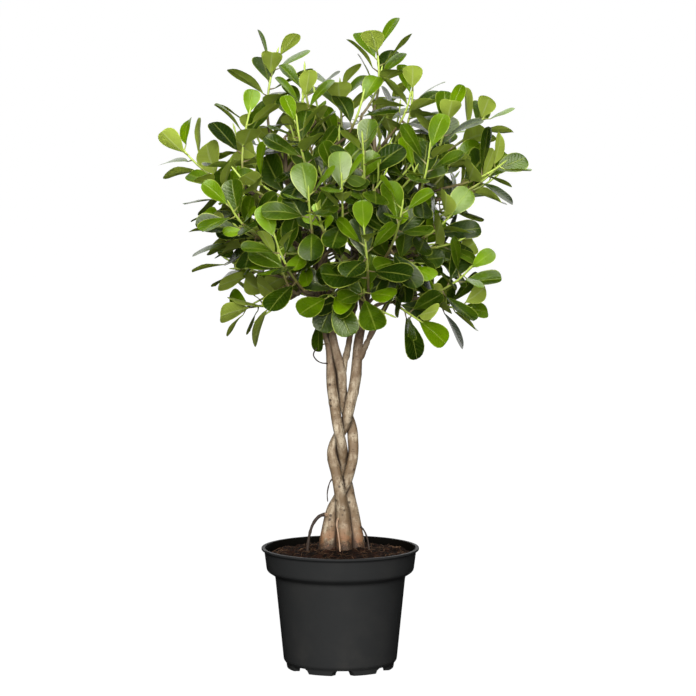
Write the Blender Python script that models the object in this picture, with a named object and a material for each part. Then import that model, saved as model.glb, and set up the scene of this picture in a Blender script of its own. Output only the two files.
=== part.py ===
"""A potted fig standard: three stems braided into one trunk, under a rounded crown of leafy shoots.

Units are millimetres in the tables and are scaled to metres when a mesh is made. The pot stands on
z = 0 with its axis on the Z axis. The front of the plant looks towards -Y.
"""

import math
import random

import bpy
import numpy as np
from mathutils.bvhtree import BVHTree

MM = 0.001
SEAT = 0.3

# Pot
POT_SIDES = 32
NOTCH_COUNT = 7
NOTCH_FIRST_DEG = -87.0
NOTCH_HEIGHT = 6.4
NOTCH_SHOULDER = 3.6
NOTCH_REACH = (54.0, 70.0)
NOTCH_HALF_WIDTH = (5.2, 18.7)
NOTCH_OUTLINE = ((-1.0, -1.0), (1.0, -1.0), (0.9, NOTCH_SHOULDER), (0.62, NOTCH_HEIGHT),
                 (-0.62, NOTCH_HEIGHT), (-0.9, NOTCH_SHOULDER))
POT_HEIGHT = 146.0
WALL = 1.6
FOOT_INNER = 58.0
FLOOR_UNDER = 7.2
FLOOR_TOP = 9.2
FLOOR_FILLET = 2.0
LIP = 4.0
POT_OUTSIDE = (
    (64.3, 0.0),
    (65.3, 6.0),
    (68.4, 10.0),
    (78.5, 110.6),
    (80.0, 112.8),
    (88.6, 118.3),
    (91.6, 141.6),
    (95.0, 143.6),
    (95.0, POT_HEIGHT),
)

# Soil
SOIL_SIDES = 16
SOIL_TOP = 145.0
SOIL_EDGE = 137.0
SOIL_MOUND = ((72.0, 140.6), (40.0, 143.8))
HOLE_SPARE = 0.15

# Leaf, as fractions of its blade length and half-width
LEAF_STATIONS = ((0.5, 0.9), (0.86, 0.8))
PETIOLE_HALF_WIDTH = 0.95
KEEL = 1.25
CLEAR = 0.55
GOLDEN_DEG = 137.5

# Stems, from the soil up: (x, y, z, radius)
STEM_LEFT = (
    (23.0, 1.0, 114.0, 8.2),
    (21.0, 1.5, 147.0, 7.9),
    (18.6, 2.2, 166.0, 7.3),
    (16.6, 2.8, 180.0, 6.7),
    (14.5, 3.7, 192.0, 6.3),
    (11.8, 7.1, 204.0, 5.95),
    (9.6, 11.3, 216.0, 5.95),
    (6.8, 10.8, 228.0, 5.95),
    (4.5, 7.5, 240.0, 5.95),
    (3.4, 3.5, 252.0, 5.95),
    (2.7, -2.6, 264.0, 5.95),
    (0.7, -7.8, 276.0, 5.95),
    (-1.9, -10.2, 288.0, 5.95),
    (-4.2, -8.1, 300.0, 5.95),
    (-6.0, -4.4, 312.0, 5.95),
    (-9.6, -2.0, 336.0, 5.95),
    (-11.0, 1.0, 360.0, 5.6),
    (-13.0, 4.0, 390.0, 4.9),
    (-27.0, -5.0, 432.0, 4.6),
    (-46.0, -10.0, 500.0, 3.6),
    (-62.0, -6.0, 575.0, 2.6),
    (-66.0, 2.0, 640.0, 1.8),
)
STEM_MIDDLE = (
    (-16.4, 4.0, 114.0, 10.8),
    (-14.4, 4.0, 147.0, 10.4),
    (-12.8, 3.6, 166.0, 9.0),
    (-11.4, 3.0, 180.0, 7.7),
    (-9.4, 2.4, 192.0, 6.7),
    (-3.6, 2.9, 204.0, 6.2),
    (2.8, 0.6, 216.0, 5.95),
    (8.4, -2.3, 228.0, 5.95),
    (11.9, -3.4, 240.0, 5.95),
    (14.8, -2.8, 252.0, 5.95),
    (15.8, -0.2, 264.0, 5.95),
    (15.3, 3.4, 276.0, 5.95),
    (14.2, 8.2, 288.0, 5.95),
    (10.7, 10.6, 300.0, 5.95),
    (6.4, 8.8, 312.0, 5.95),
    (2.2, 3.8, 336.0, 5.95),
    (1.2, -0.6, 360.0, 5.8),
    (-5.2, -5.8, 385.0, 4.5),
    (-9.5, -4.0, 405.0, 4.3),
    (-14.5, 7.0, 425.0, 4.0),
    (-22.0, 27.0, 456.0, 3.7),
    (-30.0, 48.0, 530.0, 2.9),
    (-22.0, 46.0, 620.0, 1.8),
)
STEM_RIGHT = (
    (5.2, -6.2, 114.0, 8.8),
    (5.0, -6.2, 147.0, 8.5),
    (4.6, -6.5, 166.0, 7.9),
    (3.8, -6.4, 180.0, 7.5),
    (2.8, -6.6, 192.0, 6.9),
    (1.3, -10.2, 204.0, 6.5),
    (-0.9, -11.8, 216.0, 6.1),
    (-3.2, -8.6, 228.0, 5.95),
    (-5.6, -4.1, 240.0, 5.95),
    (-8.8, -0.8, 252.0, 5.95),
    (-9.2, 2.6, 264.0, 5.95),
    (-4.8, 4.3, 276.0, 5.95),
    (2.3, 2.2, 288.0, 5.95),
    (7.3, -2.1, 300.0, 5.95),
    (10.0, -3.8, 312.0, 5.95),
    (15.7, -1.7, 336.0, 5.95),
    (19.4, -0.3, 360.0, 6.0),
    (21.2, 0.0, 390.0, 5.5),
    (28.0, -6.0, 430.0, 4.5),
    (38.0, -8.0, 500.0, 3.6),
    (42.0, -4.0, 580.0, 2.7),
    (40.0, 0.0, 655.0, 1.8),
)

# Boughs that leave a stem, each starting inside it
BOUGHS = {
    "stem_left": (
        ((-20.0, -1.0, 410.0, 3.9), (-26.0, -22.0, 440.0, 3.3), (-24.0, -54.0, 484.0, 2.6),
         (-20.0, -78.0, 540.0, 1.8)),
        ((-30.0, -6.0, 444.0, 3.4), (-52.0, 4.0, 466.0, 2.8), (-84.0, 12.0, 510.0, 1.9)),
    ),
    "stem_middle": (
        ((1.4, 0.4, 355.0, 4.4), (9.6, 6.0, 388.0, 3.5), (17.0, 26.0, 436.0, 3.2),
         (34.0, 50.0, 510.0, 2.7), (46.0, 52.0, 590.0, 1.8)),
        ((-14.5, 7.5, 426.0, 3.2), (-38.0, 38.0, 462.0, 2.5), (-66.0, 58.0, 505.0, 1.8)),
    ),
    "stem_right": (
        ((19.6, 0.0, 364.0, 4.0), (34.0, 0.0, 398.0, 3.6), (58.0, 2.0, 444.0, 3.0),
         (86.0, 0.0, 500.0, 2.3), (100.0, -2.0, 550.0, 1.8)),
        ((23.0, -2.0, 398.0, 3.8), (28.0, -24.0, 430.0, 3.3), (34.0, -58.0, 480.0, 2.6),
         (36.0, -84.0, 535.0, 1.8)),
    ),
}

# Aerial roots, each starting inside its stem
AERIAL_ROOTS = {
    "stem_left": (
        ((20.0, 0.5, 171.0, 1.2), (27.0, -3.0, 169.0, 1.0), (33.0, -7.0, 156.0, 1.0),
         (36.0, -9.0, 134.0, 1.0)),
        ((-15.0, -1.0, 393.0, 0.9), (-26.0, -7.0, 390.0, 0.8), (-32.0, -9.0, 380.0, 0.8),
         (-25.0, -7.0, 371.0, 0.8), (-14.0, -1.0, 369.0, 0.9)),
    ),
    "stem_middle": (
        ((-12.0, -1.0, 184.0, 2.3), (-23.0, -7.0, 186.0, 2.2), (-33.0, -10.0, 175.0, 2.0),
         (-38.0, -12.0, 157.0, 1.8), (-40.0, -12.0, 134.0, 1.6)),
    ),
    "stem_right": (
        ((1.0, -7.0, 186.0, 1.3), (-4.0, -15.5, 179.0, 1.1), (-2.5, -20.5, 166.0, 1.0),
         (-0.5, -24.0, 150.0, 1.0), (0.0, -25.0, 134.0, 1.0)),
        ((-5.5, -5.0, 234.0, 0.9), (-12.5, -9.5, 226.0, 0.8), (-15.5, -11.0, 213.0, 0.7),
         (-15.0, -11.0, 203.0, 0.6)),
    ),
}

# Leafy shoots of the front half: (base, tip, leaves)
FRONT_SHOOTS = (
    ((-86, 18, 655), (-76, 28, 738), 9),
    ((-114, -12, 585), (-108, -20, 668), 8),
    ((-118, 50, 570), (-193, 82, 624), 8),
    ((-29, -30, 612), (-44, -50, 692), 8),
    ((-32, -66, 588), (-50, -110, 664), 8),
    ((2, 14, 634), (0, 10, 702), 8),
    ((40, 2, 672), (43, 0, 749), 9),
    ((71, -12, 635), (86, -20, 700), 8),
    ((98, -40, 594), (126, -62, 672), 8),
    ((120, 22, 618), (174, 36, 664), 8),
    ((128, -58, 584), (189, -84, 612), 8),
    ((28, -90, 560), (26, -146, 646), 8),
    ((-29, -102, 520), (-36, -168, 585), 8),
    ((-100, -22, 548), (-150, -40, 590), 7),
    ((-92, -4, 500), (-148, -10, 532), 7),
    ((-78, 28, 472), (-136, 46, 490), 7),
    ((-62, 24, 444), (-116, 40, 432), 7),
    ((-43, -98, 466), (-74, -160, 530), 8),
    ((33, -108, 470), (28, -172, 540), 8),
    ((2, -40, 466), (-12, -88, 458), 7),
    ((24, -62, 456), (28, -116, 466), 6),
    ((56, -54, 452), (92, -90, 430), 7),
    ((98, -60, 454), (150, -108, 490), 8),
    ((86, -26, 446), (148, -42, 440), 7),
    ((77, -60, 515), (128, -100, 552), 7),
    ((98, 18, 540), (148, 34, 574), 7),
    ((82, -84, 556), (104, -134, 634), 8),
    ((53, -108, 505), (72, -170, 570), 8),
    ((4, -102, 525), (2, -168, 600), 8),
    ((-88, -66, 520), (-128, -116, 566), 8),
)

# Leafy shoots of the back half follow a spiral over an ellipsoid
BACK_COUNT = 13
BACK_CENTRE = (0.0, 12.0, 560.0)
BACK_REACH = (152.0, 174.0, 148.0)
BACK_LOWEST = -0.72
BACK_HIGHEST = 0.86
BACK_SWING_DEG = 78.0
BACK_RISE = 0.55
BACK_LENGTH = 88.0
BACK_LEAVES = 7

# How leaves sit on a shoot, each pair from its base to its tip
LEAF_LENGTH = (50.0, 35.0)
LEAF_PITCH_DEG = (68.0, 30.0)
LEAF_PLACES = (0.08, 0.98)
LEAF_WIDTH_RATIO = 0.68
LEAF_TRIES = 26
PETIOLE_LENGTH = 8.5
PETIOLE_LEAD = (0.5, 0.7)

# How far each leaf strays from the rule: the range of a random factor or value
LENGTH_RANGE = (0.86, 1.12)
WIDTH_RANGE = (0.92, 1.08)
PETIOLE_RANGE = (0.85, 1.2)
CURL_RANGE = (-0.05, 0.55)
PITCH_LIMITS_DEG = (14.0, 105.0)
LOOSE_DEG = (8.0, 2.2)

# How strongly the upper faces turn to the light
CROWN_HEART = (0.0, 0.0, 520.0)
LIGHT_PULL = 0.6
LEAST_LIGHT = 0.15
OUTWARD_PULL = (0.45, -0.05)

# Twigs
TWIG_RADIUS = (1.6, 1.05)
TWIG_CORNER = 1.15
TWIG_POINTS = 9
TWIG_BOW = 0.12
TWIG_SAG = 0.07
BUD_LENGTH = 7.0
SHOOT_TRIES = 60
TRIES_PER_LIMB = 15
SHIFT_STEP = 0.5
FIRST_SEED = 1000

# Trunks, and the boughs that carry the shoots
TRUNK_RINGS = 33
TRUNK_SIDES = 7
CROWN_START = 400.0
BOUGH_BASE_RADIUS = 2.6
BOUGH_TIP_RADIUS = 1.6
BOUGH_RINGS = 5
BOUGH_STUB = 4.0
BOUGH_REACH = 55.0
BOUGH_RISE = 18.0
BOUGH_SWAY = 0.10
BOUGH_LEAD = (0.35, 0.40)

COLOURS = {
    "pot": ((0.012, 0.012, 0.013, 1.0), 0.42),
    "soil": ((0.045, 0.026, 0.016, 1.0), 0.95),
    "wood": ((0.36, 0.29, 0.21, 1.0), 0.8),
    "leaf": ((0.09, 0.22, 0.03, 1.0), 0.4),
}


def unit(vector):
    """The vector at length 1."""
    return vector / np.linalg.norm(vector)


def smooth_curve(points, count):
    """Points on a Catmull-Rom curve, closer together where the given points are, column by column."""
    points = np.asarray(points, dtype=float)
    padded = np.vstack([2 * points[0] - points[1], points, 2 * points[-1] - points[-2]])
    steps = np.linspace(0.0, 1.0, 12, endpoint=False)[:, None]
    pieces = []
    for a, b, c, d in zip(padded[:-3], padded[1:-2], padded[2:-1], padded[3:]):
        pieces.append(0.5 * (2 * b + (c - a) * steps + (2 * a - 5 * b + 4 * c - d) * steps**2
                             + (3 * b - a - 3 * c + d) * steps**3))
    dense = np.vstack(pieces + [points[-1:]])
    wanted = np.linspace(0.0, len(dense) - 1.0, count)
    return np.stack([np.interp(wanted, range(len(dense)), column) for column in dense.T], axis=1)


def frames(path):
    """Tangent, normal and binormal at each point, carried along the path without twist."""
    tangents = np.gradient(path, axis=0)
    tangents /= np.linalg.norm(tangents, axis=1)[:, None]
    normal = np.cross(tangents[0], (0.31, 0.95, 0.07))
    normals = []
    for tangent in tangents:
        normal = unit(normal - tangent * np.dot(normal, tangent))
        normals.append(normal)
    normals = np.array(normals)
    return tangents, normals, np.cross(tangents, normals)


def tube(path, radii, sides):
    """A closed round bar along the path: rings of points and flat ends."""
    path = np.asarray(path, dtype=float)
    radii = np.broadcast_to(radii, len(path))
    _, normals, binormals = frames(path)
    angles = (np.arange(sides) + 0.5) * 2 * math.pi / sides
    across = np.cos(angles)[None, :, None] * normals[:, None]
    across = across + np.sin(angles)[None, :, None] * binormals[:, None]
    points = (path[:, None] + radii[:, None, None] * across).reshape(-1, 3)
    faces = []
    for ring in range(len(path) - 1):
        for side in range(sides):
            low = ring * sides + side
            next_low = ring * sides + (side + 1) % sides
            faces.append((low, next_low, next_low + sides, low + sides))
    top = (len(path) - 1) * sides
    faces.append(tuple(range(sides - 1, -1, -1)))
    faces.append(tuple(range(top, top + sides)))
    return points, faces


def new_object(name, points, faces, material):
    """A mesh object from points in millimetres."""
    mesh = bpy.data.meshes.new(name)
    mesh.from_pydata((np.asarray(points) * MM).tolist(), [], [list(face) for face in faces])
    mesh.validate()
    item = bpy.data.objects.new(name, mesh)
    bpy.context.scene.collection.objects.link(item)
    if material:
        mesh.materials.append(material)
    return item


def make_material(name):
    """A plain material in the part's own colour."""
    colour, roughness = COLOURS[name]
    material = bpy.data.materials.new(name)
    material.use_nodes = True
    shader = material.node_tree.nodes["Principled BSDF"]
    shader.inputs["Base Color"].default_value = colour
    shader.inputs["Roughness"].default_value = roughness
    return material


def lathe(profile, sides):
    """A turned solid from its half outline (radius, z), given anticlockwise from the axis to the axis."""
    points = []
    rows = []
    for radius, z in profile:
        if radius == 0.0:
            rows.append([len(points)] * sides)
            points.append((0.0, 0.0, z))
            continue
        rows.append(list(range(len(points), len(points) + sides)))
        for side in range(sides):
            angle = 2 * math.pi * side / sides
            points.append((radius * math.cos(angle), radius * math.sin(angle), z))
    faces = []
    for low, high in zip(rows, rows[1:]):
        for side in range(sides):
            after = (side + 1) % sides
            corners = (low[side], low[after], high[after], high[side])
            faces.append(tuple(dict.fromkeys(corners)))
    return points, faces


def boolean(target, operation, others, solver="EXACT"):
    """Joins or cuts the target with the other objects, applies it and removes them."""
    group = bpy.data.collections.new("cutters")
    bpy.context.scene.collection.children.link(group)
    for other in others:
        group.objects.link(other)
        bpy.context.scene.collection.objects.unlink(other)
    modifier = target.modifiers.new("boolean", "BOOLEAN")
    modifier.operation = operation
    modifier.operand_type = "COLLECTION"
    modifier.collection = group
    modifier.solver = solver
    graph = bpy.context.evaluated_depsgraph_get()
    result = bpy.data.meshes.new_from_object(target.evaluated_get(graph))
    target.modifiers.clear()
    target.data = result
    for other in others:
        bpy.data.objects.remove(other)
    bpy.data.collections.remove(group)


def shade_round(item, angle_deg=35.0):
    """Smooth shading with crisp edges at steps."""
    item.data.shade_smooth()
    item.data.set_sharp_from_angle(angle=math.radians(angle_deg))


def pot_inside():
    """The inner wall (radius, z) from the lip down to the floor, one wall thickness inside the outer one."""
    _, _, corner, neck, ledge, band, collar, lip, _ = POT_OUTSIDE
    return (
        (lip[0] - LIP, POT_HEIGHT),
        (collar[0] - WALL, collar[1]),
        (band[0] - WALL, band[1] + WALL),
        (ledge[0] - WALL, ledge[1] + WALL),
        (neck[0] - WALL, neck[1]),
        (corner[0] - WALL, FLOOR_TOP + FLOOR_FILLET),
        (corner[0] - WALL - FLOOR_FILLET, FLOOR_TOP),
    )


def build_pot(material):
    """The pot, with its foot ring cut into seven pads by arched notches that widen outwards."""
    profile = ((0.0, FLOOR_UNDER), (FOOT_INNER, FLOOR_UNDER), (FOOT_INNER, 0.0)) + POT_OUTSIDE
    profile += pot_inside() + ((0.0, FLOOR_TOP),)
    pot = new_object("pot", *lathe(profile, POT_SIDES), material)
    cutters = []
    for notch in range(NOTCH_COUNT):
        middle = math.radians(NOTCH_FIRST_DEG + notch * 360.0 / NOTCH_COUNT)
        points = []
        for radius, half in zip(NOTCH_REACH, NOTCH_HALF_WIDTH):
            for spread, z in NOTCH_OUTLINE:
                across = half * spread
                points.append((radius * math.cos(middle) - across * math.sin(middle),
                               radius * math.sin(middle) + across * math.cos(middle), z))
        faces = [(5, 4, 3, 2, 1, 0), (6, 7, 8, 9, 10, 11)]
        for k in range(6):
            after = (k + 1) % 6
            faces += [(k, after, after + 6), (k, after + 6, k + 6)]
        cutters.append(new_object(f"notch_{notch}", points, faces, None))
    boolean(pot, "DIFFERENCE", cutters)
    shade_round(pot)


def build_soil(material, buried):
    """The peat, seated a hair inside the pot, with a plain hole for each stem and root."""
    _, collar, band, ledge, neck, corner, floor = pot_inside()
    profile = ((0.0, FLOOR_TOP + SEAT), (floor[0] - SEAT, FLOOR_TOP + SEAT), (corner[0] - SEAT, corner[1]),
               (neck[0] - SEAT, neck[1]), (ledge[0] - SEAT, ledge[1] + SEAT),
               (band[0] - 2 * SEAT, band[1] + SEAT), (collar[0] - 2.0, SOIL_EDGE),
               *SOIL_MOUND, (0.0, SOIL_TOP))
    soil = new_object("soil", *lathe(profile, SOIL_SIDES), material)
    holes = []
    for index, (path, radii, sides) in enumerate(buried):
        wide = np.asarray(radii) + SEAT + HOLE_SPARE
        holes.append(new_object(f"hole_{index}", *tube(path, wide, sides), None))
    boolean(soil, "DIFFERENCE", holes)
    shade_round(soil)


def bezier(start, middle, end, count):
    """Points on a quadratic curve."""
    steps = np.linspace(0.0, 1.0, count)[:, None]
    return (1 - steps) ** 2 * start + 2 * steps * (1 - steps) * middle + steps**2 * end


class Placed:
    """Closed shapes that are already in place, kept for crossing tests."""

    def __init__(self):
        self.low = np.zeros((0, 3))
        self.high = np.zeros((0, 3))
        self.trees = []
        self.owners = []

    def add(self, points, faces, owner):
        self.low = np.vstack([self.low, points.min(axis=0)])
        self.high = np.vstack([self.high, points.max(axis=0)])
        self.trees.append(BVHTree.FromPolygons(points.tolist(), faces))
        self.owners.append(owner)

    def clear_of(self, points, faces, skip=()):
        """True if the closed shape crosses nothing in place, apart from the owners to skip."""
        low = points.min(axis=0)
        high = points.max(axis=0)
        near = np.nonzero(np.all((self.low <= high) & (self.high >= low), axis=1))[0]
        near = [index for index in near if self.owners[index] not in skip]
        if not near:
            return True
        tree = BVHTree.FromPolygons(points.tolist(), faces)
        return not any(tree.overlap(self.trees[index]) for index in near)


def shoot_list():
    """Base, tip and leaf count of each shoot: the front ones as listed, the back ones on a spiral."""
    shoots = [(np.array(base, float), np.array(tip, float), leaves) for base, tip, leaves in FRONT_SHOOTS]
    for index in range(BACK_COUNT):
        lift = BACK_LOWEST + (BACK_HIGHEST - BACK_LOWEST) * (index + 0.5) / BACK_COUNT
        turn = math.radians(90.0 + BACK_SWING_DEG * math.sin(index * math.radians(GOLDEN_DEG)))
        level = math.sqrt(1.0 - lift**2)
        out = np.array([level * math.cos(turn), level * math.sin(turn), lift])
        tip = np.array(BACK_CENTRE) + out * BACK_REACH
        rise = unit(out + np.array([0.0, 0.0, BACK_RISE]))
        shoots.append((tip - rise * BACK_LENGTH, tip, BACK_LEAVES))
    return shoots


def shoot_path(base, tip):
    """A twig that leaves its bough outwards and turns up towards its tip."""
    reach = np.linalg.norm(tip - base)
    outward = np.array([base[0] + tip[0], base[1] + tip[1], 0.0])
    outward = unit(outward) if np.linalg.norm(outward) > 1.0 else np.zeros(3)
    middle = (base + tip) / 2 + reach * (TWIG_BOW * outward - np.array([0.0, 0.0, TWIG_SAG]))
    return bezier(base, middle, tip, TWIG_POINTS)


def twig_tube(path, spare):
    """The twig with its bud as a plain bar, wider than it by the spare distance."""
    bar = np.vstack([path, path[-1] + unit(path[-1] - path[-2]) * BUD_LENGTH])
    return tube(bar, np.linspace(*TWIG_RADIUS, len(bar)) * TWIG_CORNER + spare, 4)


def bough_path(limb, base, heading, rng):
    """A woody twig from the best place on a limb to the base of a shoot, and the radii along it."""
    gaps = np.linalg.norm(limb[:, :3] - base, axis=1)
    too_high = np.maximum(0.0, BOUGH_RISE - (base[2] - limb[:, 2]))
    start = int(np.argmin(np.abs(gaps - BOUGH_REACH) + 3.0 * too_high))
    spot = limb[start, :3]
    along = unit(limb[min(start + 1, len(limb) - 1), :3] - limb[max(start - 1, 0), :3])
    reach = np.linalg.norm(base - spot)
    sway = np.array([rng.uniform(-1, 1) for _ in range(3)]) * BOUGH_SWAY * reach
    first = spot + along * reach * BOUGH_LEAD[0] + sway
    last = base - heading * reach * BOUGH_LEAD[1]
    end = base - heading * BOUGH_STUB
    steps = np.linspace(0.0, 1.0, BOUGH_RINGS - 1)[:, None]
    path = ((1 - steps) ** 3 * spot + 3 * steps * (1 - steps) ** 2 * first + 3 * steps**2 * (1 - steps) * last
            + steps**3 * end)
    path = np.vstack([path, base])
    radii = np.linspace(min(limb[start, 3] * 0.8, BOUGH_BASE_RADIUS), BOUGH_TIP_RADIUS, BOUGH_RINGS)
    return path, radii


def settle_shoot(base, tip, limbs, placed, rng):
    """The path of a twig and of the bough that carries it, moved at each try until both are clear."""
    ranked = sorted(limbs, key=lambda limb: float(np.linalg.norm(limb[1][:, :3] - base, axis=1).min()))
    for attempt in range(SHOOT_TRIES):
        shift = np.array([rng.uniform(-1, 1) for _ in range(3)]) * SHIFT_STEP * attempt
        path = shoot_path(base + shift * 0.5, tip + shift)
        heading = unit(path[1] - path[0])
        stem, limb = ranked[attempt // TRIES_PER_LIMB]
        bough, radii = bough_path(limb, path[0] - heading * SEAT, heading, rng)
        if not placed.clear_of(*twig_tube(path, CLEAR)):
            continue
        if placed.clear_of(*tube(bough, radii + CLEAR, 4), skip=(stem,)):
            return path, stem, (bough, radii, 4)
    raise ValueError("a shoot finds no free place")


def leaf_frame(axis, azimuth, pitch, normal, binormal, light):
    """Direction of the blade and the way its upper face looks, turned part of the way to the light."""
    radial = math.cos(azimuth) * normal + math.sin(azimuth) * binormal
    along = unit(math.cos(pitch) * axis + math.sin(pitch) * radial)
    face = math.sin(pitch) * axis - math.cos(pitch) * radial + light
    face = unit(face - along * np.dot(face, along))
    return along, face, radial


def leaf_line(start, radial, along, face, petiole, length, curl, parts):
    """The midrib: a petiole from the twig, then an arc that bends away from the upper face."""
    lead = unit(PETIOLE_LEAD[0] * radial + PETIOLE_LEAD[1] * along)
    root = start + lead * petiole
    turns = curl * np.asarray(parts)
    if abs(curl) > 1e-6:
        forward = np.sin(turns) / curl
        down = (1 - np.cos(turns)) / curl
    else:
        forward = np.asarray(parts, float)
        down = np.zeros(len(turns))
    line = root + length * (forward[:, None] * along - down[:, None] * face)
    faces = np.cos(turns)[:, None] * face + np.sin(turns)[:, None] * along
    return line, faces


def leaf_points(leaf):
    """Sections of three points (keel, left, right) from the blade's base to its end, and the tip point."""
    parts = [0.0] + [part for part, _ in LEAF_STATIONS] + [1.0]
    line, ups = leaf_line(*leaf["stalk"], leaf["length"], leaf["curl"], parts)
    side = np.cross(leaf["stalk"][2], leaf["stalk"][3])
    halves = [PETIOLE_HALF_WIDTH] + [leaf["half_width"] * share for _, share in LEAF_STATIONS]
    points = []
    for centre, up, half in zip(line, ups, halves):
        points.append(centre - up * KEEL)
        points.append(centre - side * half)
        points.append(centre + side * half)
    points.append(line[-1])
    return np.array(points)


def leaf_box(leaf, spare):
    """A plain closed slab round the blade, wider than it by the spare distance, for crossing tests."""
    parts = [0.02] + [part for part, _ in LEAF_STATIONS] + [1.0]
    line, ups = leaf_line(*leaf["stalk"], leaf["length"], leaf["curl"], parts)
    side = np.cross(leaf["stalk"][2], leaf["stalk"][3])
    halves = [PETIOLE_HALF_WIDTH] + [leaf["half_width"] * share for _, share in LEAF_STATIONS] + [0.4]
    points = []
    for centre, up, half in zip(line, ups, halves):
        wide = side * (half + spare)
        points += [centre - wide - up * (KEEL + spare), centre + wide - up * (KEEL + spare),
                   centre + wide + up * spare, centre - wide + up * spare]
    faces = [(3, 2, 1, 0), (12, 13, 14, 15)]
    for ring in range(3):
        for edge in range(4):
            low = 4 * ring + edge
            after = 4 * ring + (edge + 1) % 4
            faces.append((low, after, after + 4, low + 4))
    return np.array(points), faces


BLADE_FACES = (
    (1, 2, 5), (1, 5, 4), (0, 1, 4), (0, 4, 3), (2, 0, 3), (2, 3, 5),
    (4, 5, 8), (4, 8, 7), (3, 4, 7), (3, 7, 6), (5, 3, 6), (5, 6, 8),
    (7, 8, 9), (6, 7, 9), (8, 6, 9),
)


def petiole_tube(leaf, spare):
    """A plain bar along the leaf's stalk, wider than it by the spare distance."""
    start, radial = leaf["stalk"][0], leaf["stalk"][1]
    ends = np.array([start + radial, leaf_points(leaf)[:3].mean(axis=0)])
    return tube(ends, PETIOLE_HALF_WIDTH * 1.2 + spare, 4)


def place_leaves(path, count, name, rng, placed):
    """The leaves of one shoot, from its base to its tip, each turned until it crosses nothing."""
    tangents, normals, binormals = frames(path)
    turn = rng.uniform(0, 360)
    leaves = []
    for index in range(count):
        share = (index + 0.6) / count
        place = LEAF_PLACES[0] + (LEAF_PLACES[1] - LEAF_PLACES[0]) * share**0.75
        spot = place * (len(path) - 1)
        low = min(int(spot), len(path) - 2)
        blend = spot - low
        start = path[low] * (1 - blend) + path[low + 1] * blend
        axis = unit(tangents[low] * (1 - blend) + tangents[low + 1] * blend)
        turn += GOLDEN_DEG
        size = LEAF_LENGTH[0] + (LEAF_LENGTH[1] - LEAF_LENGTH[0]) * share**1.6
        pitch = LEAF_PITCH_DEG[0] + (LEAF_PITCH_DEG[1] - LEAF_PITCH_DEG[0]) * share
        level = LIGHT_PULL * math.sqrt(max(0.0, 1.0 - axis[2] ** 2)) + LEAST_LIGHT
        outward = unit(start - np.array(CROWN_HEART))
        turned = OUTWARD_PULL[0] + (OUTWARD_PULL[1] - OUTWARD_PULL[0]) * share
        light = level * np.array([0.0, 0.0, 1.0]) + turned * outward
        found = None
        for attempt in range(LEAF_TRIES):
            loose = LOOSE_DEG[0] + LOOSE_DEG[1] * attempt
            azimuth = math.radians(turn + rng.uniform(-loose, loose))
            tilt = pitch + rng.uniform(-loose, loose) * 0.7
            tilt = math.radians(min(PITCH_LIMITS_DEG[1], max(PITCH_LIMITS_DEG[0], tilt)))
            along, face, radial = leaf_frame(axis, azimuth, tilt, normals[low], binormals[low], light)
            length = size * rng.uniform(*LENGTH_RANGE) * (1.0 - 0.008 * attempt)
            petiole = PETIOLE_LENGTH * rng.uniform(*PETIOLE_RANGE)
            leaf = {
                "place": place,
                "stalk": (start, radial, along, face, petiole),
                "length": length,
                "half_width": length * LEAF_WIDTH_RATIO / 2 * rng.uniform(*WIDTH_RANGE),
                "curl": rng.uniform(*CURL_RANGE),
            }
            stalk_clear = placed.clear_of(*petiole_tube(leaf, CLEAR), skip=(name,))
            if stalk_clear and placed.clear_of(*leaf_box(leaf, CLEAR)):
                found = leaf
                break
        if found:
            placed.add(leaf_points(found), [(2, 1, 0)] + list(BLADE_FACES), name + "_leaf")
            placed.add(*petiole_tube(found, 0.0), name + "_leaf")
            leaves.append(found)
    return leaves


def twig_rings(path, leaves):
    """Where the rings of the twig lie, so that each leaf has a stretch of its own, and its radii."""
    places = [leaf["place"] for leaf in leaves]
    cuts = [0.0] + [(a + b) / 2 for a, b in zip(places, places[1:])] + [min(1.0, places[-1] + 0.05)]
    cuts.insert(1, places[0] / 2)
    spots = np.array(cuts) * (len(path) - 1)
    rings = np.stack([np.interp(spots, range(len(path)), column) for column in path.T], axis=1)
    radii = TWIG_RADIUS[0] + (TWIG_RADIUS[1] - TWIG_RADIUS[0]) * np.array(cuts)
    return rings, radii


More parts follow.
